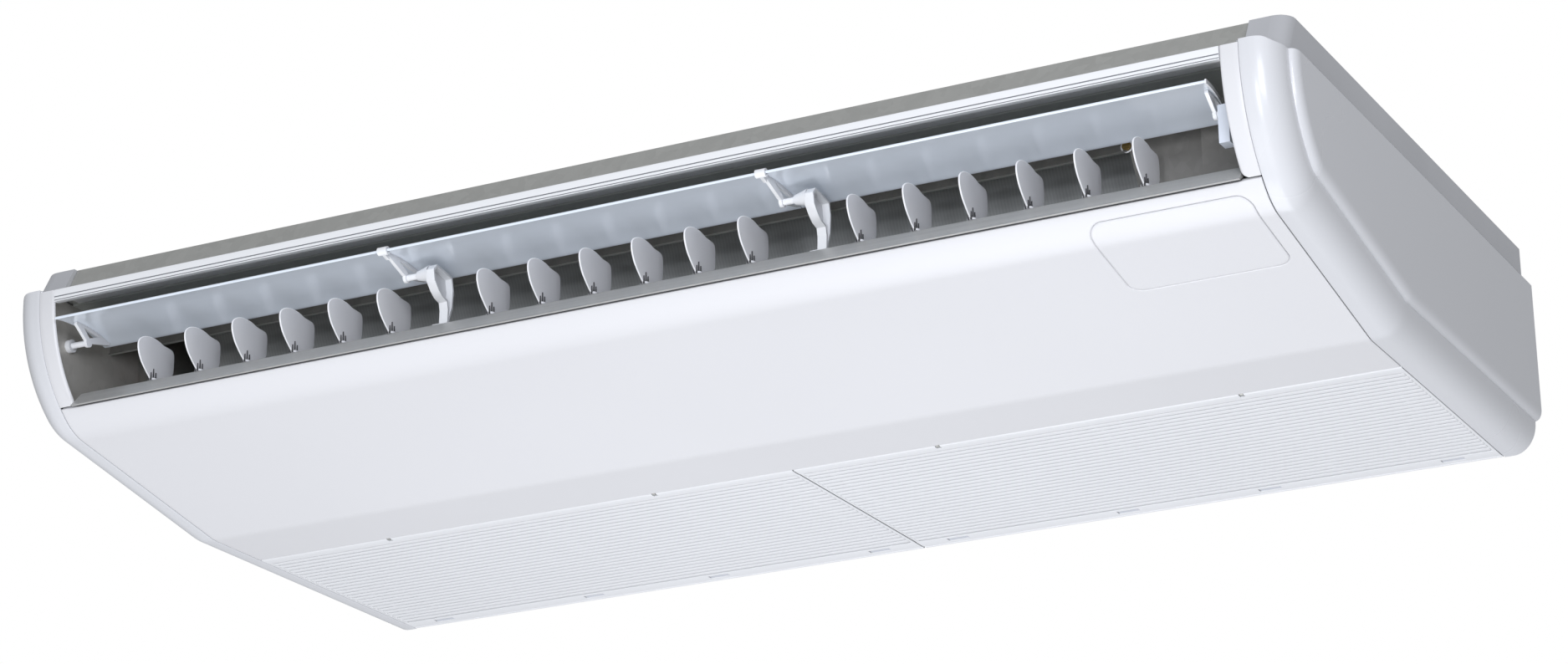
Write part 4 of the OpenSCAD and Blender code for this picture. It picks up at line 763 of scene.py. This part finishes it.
def vane(x):
    """A vane: its outline drawn in round a half circle on each edge, flat faces between,
    on a round foot with three small ribs on each face, and a crank lug behind."""
    z0 = FLOOR_Z + SEAT
    y0 = VANE_Y - 0.415 * VANE_L
    line = closed_curve(VANE_SHARES * (VANE_L, VANE_H) + (y0, z0), 5)
    n = len(line)
    ahead = np.roll(line, -1, 0) - np.roll(line, 1, 0)
    ahead /= np.linalg.norm(ahead, axis=1)[:, None]
    inward = np.stack([ahead[:, 1], -ahead[:, 0]], -1)
    if np.sum((line.mean(0) - line) * inward) < 0:
        inward = -inward
    half = 0.8
    a = np.linspace(0, math.pi, 9)
    rings = [np.column_stack([np.full(n, x - half * math.cos(t)), line + inward * half * (1 - math.sin(t))])
             for t in a]
    points = np.concatenate(rings)
    faces = [list(f) for f in grid_faces(9, n, closed=True)]
    # Faces round the front half of the rolled edge get the paler finish: a painted highlight where the edge
    # catches the light.
    rim = [1 if line[f[0] % n, 0] < y0 + 0.5 * VANE_L else 0 for f in faces]
    faces.append(list(range(n))[::-1])
    faces.append(list(range(8 * n, 9 * n)))
    parts = [(points, faces),
             rod((x, VANE_Y, z0), 2, 4.5, 4.2, 2.0),
             rod((x, VANE_Y, FLOOR_Z - FLOOR_T), 2, 3.0, 3.0, FLOOR_T + 1),
             rod((x, CRANK_Y, BAR_Z - SEAT - 3.5), 2, 3.2, 3.2, 3.5),
             rod((x, CRANK_Y, BAR_Z - SEAT - 1.7), 2, 1.5, 1.4, 5.3),
             block((x - 1.1, CRANK_Y - 26, BAR_Z - SEAT - 3.5), (x + 1.1, CRANK_Y, BAR_Z - SEAT))]
    plain = sum(len(f) for _, f in parts[1:])
    # The ribs get a near black finish: painted shade at the vane's foot.
    for dy, h in ((-4.4, 7.5), (-0.6, 12.0), (3.2, 9.0)):
        for reach in (-1.9, 1.9):
            parts.append(section_bar([[VANE_Y + dy - 0.7, z0], [VANE_Y + dy + 0.7, z0],
                                      [VANE_Y + dy + 0.15, z0 + h], [VANE_Y + dy - 0.15, z0 + h]],
                                     sorted([x + 0.5 * np.sign(reach), x + reach])))
    p, f = join_parts(parts)
    marks = rim + [0] * (2 + plain) + [2] * (len(f) - len(rim) - 2 - plain)
    return p, f, marks


# Intake grilles

HINGE_R = 2.8
HINGE_Y = PANEL_END + 1.5 + HINGE_R
GRILLE_X0 = 0.8
GRILLE_X1 = SEAM_X - JOINT
GRILLE_END = BODY_D - 1
QUARTER = (GRILLE_X1 - GRILLE_X0) / 4
SLAT_Y0 = PANEL_END + 17
SLAT_PITCH = 10.0
SLATS = 26
WINDOW_SIDE = 4.0
WINDOW_REAR = GRILLE_END - 24
NOTCH = 5.0
RIBS = [GRILLE_X0 + 27, GRILLE_X1 - 27, QUARTER, 2 * QUARTER, 3 * QUARTER]
CATCHES = [0.29, 1.51, 2.49, 3.71]
CATCH_END = GRILLE_END - 11.5


def slat_section():
    """A slat's hooked section: a flat lower face with soft edges and a web that leans back."""
    return round_corners([[0, 0], [7.6, 0], [9.8, 6.4], [8.0, 6.4], [5.8, 1.8], [0, 1.8]],
                         [0.5, 1.0, 0.4, 0.4, 1.0, 0.4], 4)


def grille(side):
    """One intake grille: a rolled frame round the window, the hinge bead along its front
    between the notches, slats, recessed ribs behind them and the catches' tongues, each
    sunk in a slot of the rear bar."""
    z0 = -BODY_H
    parts = []
    front = round_corners([[HINGE_Y, z0], [SLAT_Y0, z0], [SLAT_Y0, z0 + 2.5], [HINGE_Y + 4, z0 + 2.5],
                           [HINGE_Y + 4, z0 + 8], [HINGE_Y + 2, z0 + 8], [HINGE_Y + 2, z0 + 5.2],
                           [HINGE_Y, z0 + 5.2]], [0, 0.6, 0, 0, 0, 0.5, 0, 0])
    a = np.linspace(math.pi / 2, 3 * math.pi / 2, 14)
    bead = np.stack([HINGE_Y + HINGE_R * np.cos(a), z0 + HINGE_R + HINGE_R * np.sin(a)], -1)
    nose = np.concatenate([bead[1:], front[1:-1]])
    rest = round_corners([[HINGE_Y + 5, z0], [SLAT_Y0, z0], [SLAT_Y0, z0 + 2.5], [HINGE_Y + 5, z0 + 2.5]],
                         [0.3, 0.6, 0, 0])
    stops = [GRILLE_X0]
    for k in (1, 3):
        stops += [k * QUARTER - NOTCH / 2, k * QUARTER + NOTCH / 2]
    stops.append(GRILLE_X1)
    for k in (0, 2, 4):
        parts.append(section_bar(nose, [stops[k], stops[k + 1]]))
    for k in (1, 3):
        parts.append(section_bar(rest, [stops[k], stops[k + 1]]))
    heel = [[GRILLE_END - 5.5, z0], [GRILLE_END - 5.0, z0 + 0.6], [GRILLE_END - 3.6, z0 + 0.6],
            [GRILLE_END - 3.2, z0], [GRILLE_END, z0], [GRILLE_END, z0 + 8], [GRILLE_END - 2, z0 + 8],
            [GRILLE_END - 2, z0 + 2.5]]
    soft = [0.3, 0.2, 0.2, 0.3, 1.2, 0.3, 0.3, 0]
    rear = round_corners([[WINDOW_REAR, z0]] + heel + [[WINDOW_REAR, z0 + 2.5]], [0.6] + soft + [0])
    behind = round_corners([[CATCH_END, z0]] + heel + [[CATCH_END, z0 + 2.5]], [0.3] + soft + [0])
    before = round_corners([[WINDOW_REAR, z0], [CATCH_END - 7.3, z0], [CATCH_END - 7.3, z0 + 2.5],
                            [WINDOW_REAR, z0 + 2.5]], [0.6, 0.3, 0, 0])
    stops = [GRILLE_X0]
    for k in CATCHES:
        stops += [k * QUARTER - 11.8, k * QUARTER + 11.8]
    stops.append(GRILLE_X1)
    for k in range(0, 10, 2):
        parts.append(section_bar(rear, [stops[k], stops[k + 1]]))
    for k in range(1, 9, 2):
        parts.append(section_bar(behind, [stops[k], stops[k + 1]]))
        parts.append(section_bar(before, [stops[k], stops[k + 1]]))
    for x0, x1, out in ((GRILLE_X0, GRILLE_X0 + WINDOW_SIDE, 0), (GRILLE_X1 - WINDOW_SIDE, GRILLE_X1, 1)):
        section = round_corners([[x0, z0], [x1, z0], [x1, z0 + 2.5], [x0, z0 + 2.5]], [0.7, 0.7, 0, 0])
        wall_x = (x0, x0 + 2) if not out else (x1 - 2, x1)
        n = len(section)
        points = np.concatenate([np.stack([section[:, 0], np.full(n, y), section[:, 1]], -1)
                                 for y in (SLAT_Y0 - 0.5, WINDOW_REAR + 0.5)])
        faces = [list(f) for f in grid_faces(2, n, closed=True, flip=True)]
        faces += [list(range(n)), list(range(n, 2 * n))[::-1]]
        parts.append((points, faces))
        parts.append(block((wall_x[0], HINGE_Y + 2, z0 + 2.4), (wall_x[1], GRILLE_END - 1, z0 + 8)))
    slat = slat_section()
    for i in range(SLATS):
        parts.append(section_bar(slat + (SLAT_Y0 + (i + 0.15) * SLAT_PITCH, z0),
                                 [GRILLE_X0 + WINDOW_SIDE - 1, GRILLE_X1 - WINDOW_SIDE + 1]))
    for x in RIBS:
        parts.append(block((x - 1, SLAT_Y0 - 1, z0 + 1.6), (x + 1, WINDOW_REAR + 1, z0 + 8)))
    for k in (1, 3):
        parts.append(rod((k * QUARTER - 10, HINGE_Y, z0 + HINGE_R), 0, 1.5, 1.5, 20))
    plain = sum(len(f) for _, f in parts)
    for k in CATCHES:
        x = k * QUARTER
        parts.append(section_bar(round_corners([[CATCH_END - 6.5, z0 + 0.8], [CATCH_END + 1, z0 + 0.8],
                                                [CATCH_END + 1, z0 + 2.5], [CATCH_END - 6.5, z0 + 2.5]],
                                               [0.5, 0, 0, 0]), [x - 11, x + 11]))
    points, faces = join_parts(parts)
    marks = [0] * plain + [1] * (len(faces) - plain)
    if side < 0:
        points = points * (-1, 1, 1)
        faces = [f[::-1] for f in faces]
    return points, faces, marks


def refined_copy(node, name, body, finish, bevel=0.5, sharp=30.0, extra=()):
    """A CAD solid as a piece: a merged copy with its flat faces joined and its edges
    rounded, so that they catch the light. extra pairs each further finish with a function
    that picks its faces by their centres in millimetres and their normals."""
    source = frame["nodes"][node]
    mesh = source.data.copy()
    mesh.name = name
    box = bmesh.new()
    box.from_mesh(mesh)
    bmesh.ops.remove_doubles(box, verts=box.verts, dist=0.000005)
    bmesh.ops.dissolve_limit(box, angle_limit=math.radians(1.0), verts=box.verts, edges=box.edges)
    box.to_mesh(mesh)
    box.free()
    mesh.materials.clear()
    mesh.materials.append(FINISH[finish])
    marks = np.zeros(len(mesh.polygons), np.int32)
    centres = np.zeros(len(mesh.polygons) * 3)
    mesh.polygons.foreach_get("center", centres)
    centres = centres.reshape(-1, 3) * 1000.0 + (0, BOLT_CENTRE_Y, 0)
    normals = np.zeros(len(mesh.polygons) * 3)
    mesh.polygons.foreach_get("normal", normals)
    for k, (word, pick) in enumerate(extra):
        mesh.materials.append(FINISH[word])
        marks[pick(centres, normals.reshape(-1, 3))] = k + 1
    mesh.polygons.foreach_set("material_index", marks)
    mesh.shade_smooth()
    mesh.set_sharp_from_angle(angle=math.radians(sharp))
    piece = bpy.data.objects.new(name, mesh)
    bpy.context.scene.collection.objects.link(piece)
    if bevel:
        edge = piece.modifiers.new("edges", "BEVEL")
        edge.width = bevel / 1000.0
        edge.segments = 2
        edge.limit_method = "ANGLE"
        edge.angle_limit = math.radians(sharp)
        edge.harden_normals = True
    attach(piece, body)
    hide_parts(node)
    return piece


def joint_strip(side):
    """A near black bar in the joint beside an end moulding, as painted shadow: 1.5 mm thick,
    it follows the section from the mouth to the rear, 1.6 mm inside the skin."""
    s = np.concatenate([[MOUTH_S], CORNER_S[CORNER_S > MOUTH_S + 1]])
    loop = [(SEAM_X - 1.6, 1.6), (SEAM_X - 0.02, 1.6), (SEAM_X - 0.02, 3.1), (SEAM_X - 1.6, 3.1)]
    points = np.stack([np.concatenate([np.full((len(s), 1), side * x), skin(s, d)], -1) for x, d in loop], 1)
    last = 4 * (len(s) - 1)
    faces = [list(f) for f in grid_faces(len(s), 4, closed=True, flip=side < 0)]
    ends = [[3, 2, 1, 0], [last, last + 1, last + 2, last + 3]]
    faces += [f[::-1] for f in ends] if side < 0 else ends
    return points.reshape(-1, 3), faces


def fin_stack():
    """The coil: a slab that leans forwards, its faces rippled 1.2 mm deep where the fins
    are pressed round each row of tubes, with a hook at each end."""
    z = np.linspace(0, COIL_L, 121)
    swell = COIL_T / 2 - 0.6 - 0.6 * np.cos(2 * math.pi * z / TUBE_PITCH)
    loop = np.concatenate([np.column_stack([swell, z]), np.column_stack([-swell, z])[::-1]])
    c, s = math.cos(COIL_LEAN), math.sin(COIL_LEAN)
    loop = np.column_stack([COIL_Y + c * loop[:, 0] - s * loop[:, 1], COIL_Z + s * loop[:, 0] + c * loop[:, 1]])
    hooks = [block((x, 208, -28), (x + 3, 234, -2)) for x in (COIL_X0, COIL_X1 - 3)]
    return join_parts([section_bar(loop, np.linspace(COIL_X0, COIL_X1, 9))] + hooks)


def build_casing():
    """The mouldings round the outside."""
    for side, word in ((-1, "left"), (1, "right")):
        p, f = side_moulding(side)
        add_piece("end_moulding_" + word, p, f, "casing", ["side_panel_" + word], "side_white",
                  wall=2.5, bevel=0.4, flat=len(f) - 1)
        p, f = cheek(side)
        add_piece("cheek_moulding_" + word, p, f, "casing", ["outlet_cheek_" + word], "casing_white")
        # A near black bar in the seam beside the end moulding: painted shadow.
        p, f = joint_strip(side)
        add_piece("joint_shadow_strip_" + word, p, f, "casing", [], "painted_shadow_strip")
        # A near black strip under the hanger rail: painted shadow along its edge.
        outer = [[72, -RAIL_H], [688, -RAIL_H], [688, 1.2 - RAIL_H], [72, 1.2 - RAIL_H]]
        p, f = section_bar(outer, sorted([side * (SIDE_X - 9.5), side * (SIDE_X - 0.8)]))
        add_piece("rail_shadow_strip_" + word, p, f, "casing", [], "painted_shadow_strip")
    p, f = front_sheet()
    add_piece("front_sheet", p, f, "casing", ["front_panel"], "casing_white")
    p, f = window_cover()
    add_piece("window_cover", p, f, "casing", ["receiver_cover"], "casing_white",
              sharp=50)
    # A near black strip between the lip and the front panel: painted shadow in the gap.
    shadow_bar = [[39.1, -145.5], [41.6, -144.9], [44.2, -142.5], [43.4, -142.4]]
    p, f = section_bar(shadow_bar, [-TRIM_X, TRIM_X])
    add_piece("lip_shadow_strip", p, f, "casing", [], "painted_shadow_strip")
    p, f = fin_stack()
    add_piece("fin_stack", p, f, "casing", ["coil_fins"], "fin_aluminium", sharp=60)


def blade(x0, x1, slant=0.0):
    """A blade of the flap: its section carried from x0 to x1, with the right end cut
    back by slant between the front edge and the rear."""
    loop = blade_section()
    front, rear = loop[:, 0].min(), loop[:, 0].max()
    n = len(loop)
    xs = np.linspace(x0, x1, 6)
    back = slant * (loop[:, 0] - front) / (rear - front)
    points = np.concatenate([np.column_stack([x - back * (x - x0) / (x1 - x0), loop]) for x in xs])
    faces = [list(f) for f in grid_faces(len(xs), n, closed=True)]
    faces += [list(range(n))[::-1], list(range(5 * n, 6 * n))]
    return points, faces


def screw_cup():
    """The rolled eye round the brass screw of the guide sheet: a ring turned about the
    screw's axis from a section 1.6 mm wide and 0.5 mm proud."""
    a = np.linspace(0, 2 * math.pi, 40, endpoint=False)
    t = np.linspace(0, math.pi, 7)
    r = np.concatenate([[6.0], 5.2 + 0.8 * np.cos(t), [4.4]])
    y = np.concatenate([[104.0], 103.95 - 0.5 * np.sin(t), [104.0]])
    points = np.stack([END_PLATE_X - 2.5 + r[:, None] * np.cos(a),
                       np.broadcast_to(y[:, None], (len(r), len(a))),
                       -67.2 + r[:, None] * np.sin(a)], -1)
    return points.reshape(-1, 3), grid_faces(len(r), len(a), closed=True, flip=True)


def build_outlet():
    """Trim, lip, blades and vanes."""
    t = np.linspace(0, math.pi / 2, 14)
    curl = np.column_stack([0.8 + 16 * np.sin(t), -51 + 9 * (1 - np.cos(t))])
    trim = np.concatenate([
        round_corners([[39.7, -40], [39.7, -38.4], [0, -38.4], [0, -45.5], [0.8, -45.9], [0, -46.7],
                       [0, -49.1], [0.8, -49.5], [0, -49.9], [0, -51]],
                      [0.3, 0.3, 0.9, 0.5, 0.15, 0.4, 0.4, 0.15, 0.3, 0.6]), curl[1:],
        [[16.8, -40.4], [17.2, -40]]])
    p, f = section_bar(trim, np.linspace(-TRIM_X, TRIM_X, 9))
    # Faces inside the two fine grooves get a flat dark grey: painted shade in the grooves.
    centre = np.array([p[face].mean(0) for face in f])
    sunk = (centre[:, 1] > 0.12) & (centre[:, 1] < 1.2) & (centre[:, 2] < -45.4) & (centre[:, 2] > -50.1)
    add_piece("trim_strip", p, f, "casing", ["outlet_trim"], "trim_gloss", sharp=40,
              extra=("groove_painted_shade",), marks=sunk)
    lip = round_corners([[33, -147.2], [36.5, -147.2], [50, -137.6], [57.6, -137.6], [57.6, -130], [50, -130]],
                        [1.0, 0.6, 0.5, 0.5, 0.5, 1.2])
    p, f = section_bar(lip, [-TRIM_X, TRIM_X])
    slab = section_bar([[57.2, -137.6], [152, -137.6], [152, -130], [57.2, -130]],
                       [-DUCT_X + SEAT, DUCT_X - SEAT])
    p, f = join_parts([(p, f), slab])
    add_piece("lip_strip", p, f, "casing", ["outlet_lip"], "lip_silver", bevel=0.3)
    ends = [FLAP_X0, ARM_X[0] - 0.5, ARM_X[0] + 0.5, ARM_X[1] - 0.5, ARM_X[1] + 0.5, FLAP_X1]
    for k, word in enumerate(SECTIONS):
        p, f = blade(ends[2 * k], ends[2 * k + 1], FLAP_SLANT if k == 2 else 0.0)
        add_piece("flap_blade_" + word, p, f, "flap", ["flap_" + word], "blade_white",
                  bevel=0.25)
    for i, x in enumerate(VANE_X):
        name = "vane_%s_%d" % (SECTIONS[i // 6], i % 6 + 1)
        p, f, marks = vane(x)
        add_piece(name + "_fin", p, f, name + "_body", [name], "vane_grey",
                  extra=("vane_rim_painted_highlight", "vane_rib_painted_shade"), marks=marks, sharp=40)
    p, f = screw_cup()
    add_piece("screw_cup", p, f, "casing", [], "arm_white")


def build_grilles():
    """Both intake grilles."""
    for side, word in ((-1, "left"), (1, "right")):
        p, f, marks = grille(side)
        add_piece("intake_" + word, p, f, "grille_leaf_" + word, ["grille_" + word], "grille_white",
                  sharp=35, extra=("catch_grey",), marks=marks)
        # A near black strip along the grille's inner edge: painted shadow in the joint between the grilles.
        edge = [[HINGE_Y + 4, 0.9 - BODY_H], [GRILLE_END - 1, 0.9 - BODY_H], [GRILLE_END - 1, 7 - BODY_H],
                [HINGE_Y + 4, 7 - BODY_H]]
        p, f = section_bar(edge, sorted([side * (GRILLE_X0 - 0.5), side * (GRILLE_X0 + 0.1)]))
        add_piece("leaf_shadow_strip_" + word, p, f, "grille_leaf_" + word, [], "painted_shadow_strip")


def on_end_plate(c, n):
    """Faces of the duct that belong to the bare sheet at its right-hand end, given a darker copy of the zinc
    finish as painted shade.
    """
    return (c[:, 0] > END_PLATE_X + 0.5) & (c[:, 0] < DUCT_X - 0.1) & (c[:, 1] > 79) & (c[:, 1] < 106)


def on_guide_sheet(c, n):
    """The front of the guide sheet above and behind the vanes, given a darker copy of the zinc finish as painted
    shade.
    """
    return (c[:, 0] < END_PLATE_X + 0.5) & (c[:, 1] > 98) & (c[:, 1] < 106) & (n[:, 1] < -0.7)


def on_left_wall(c, n):
    """Faces of the duct's left-hand wall."""
    return (c[:, 0] < 3 - DUCT_X) & (n[:, 0] > 0.7)


def on_broad_side(c, n):
    """Faces that look along the unit, the broad sides of an arm or a bracket, which get a darker copy of the
    white as painted shade.
    """
    return np.abs(n[:, 0]) > 0.7


def dress_cad():
    """Gives each CAD solid that still shows the finish of its material."""
    chosen = {"flap_supports": "support_white"}
    for entry in frame["record"]["subparts"]:
        node = frame["nodes"][entry["node"]]
        finish = FINISH[chosen.get(entry["node"], entry["material_slot"])]
        for k in range(len(node.data.materials)):
            node.data.materials[k] = finish
        if not node.data.materials:
            node.data.materials.append(finish)


mix_finishes()
place_camera()
build_studio()
dress_cad()
build_casing()
build_outlet()
build_grilles()
refined_copy("hanger_rail_left", "hanger_channel_left", "casing", "rail_paint", 0.6)
refined_copy("hanger_rail_right", "hanger_channel_right", "casing", "rail_paint", 0.6)
# The end plate and the guide sheet get darker copies of the zinc finish, as painted shade.
refined_copy("outlet_duct", "duct_sheets", "casing", "duct_lining", 0.3,
             extra=(("end_sheet_painted_shade", on_end_plate), ("wall_sheet", on_left_wall),
                    ("guide_sheet_painted_shade", on_guide_sheet)))
# The broad sides of the arms and brackets get darker copies of their white: painted shade.
refined_copy("flap_arms", "flap_arm_set", "flap", "arm_white", 0.35,
             extra=(("arm_side_painted_shade", on_broad_side),))
refined_copy("flap_supports", "flap_bracket_set", "casing", "support_white", 0.5,
             extra=(("support_side_painted_shade", on_broad_side),))
refined_copy("flap_coupler", "coupler_block", "flap", "coupler_clear", 0.8)
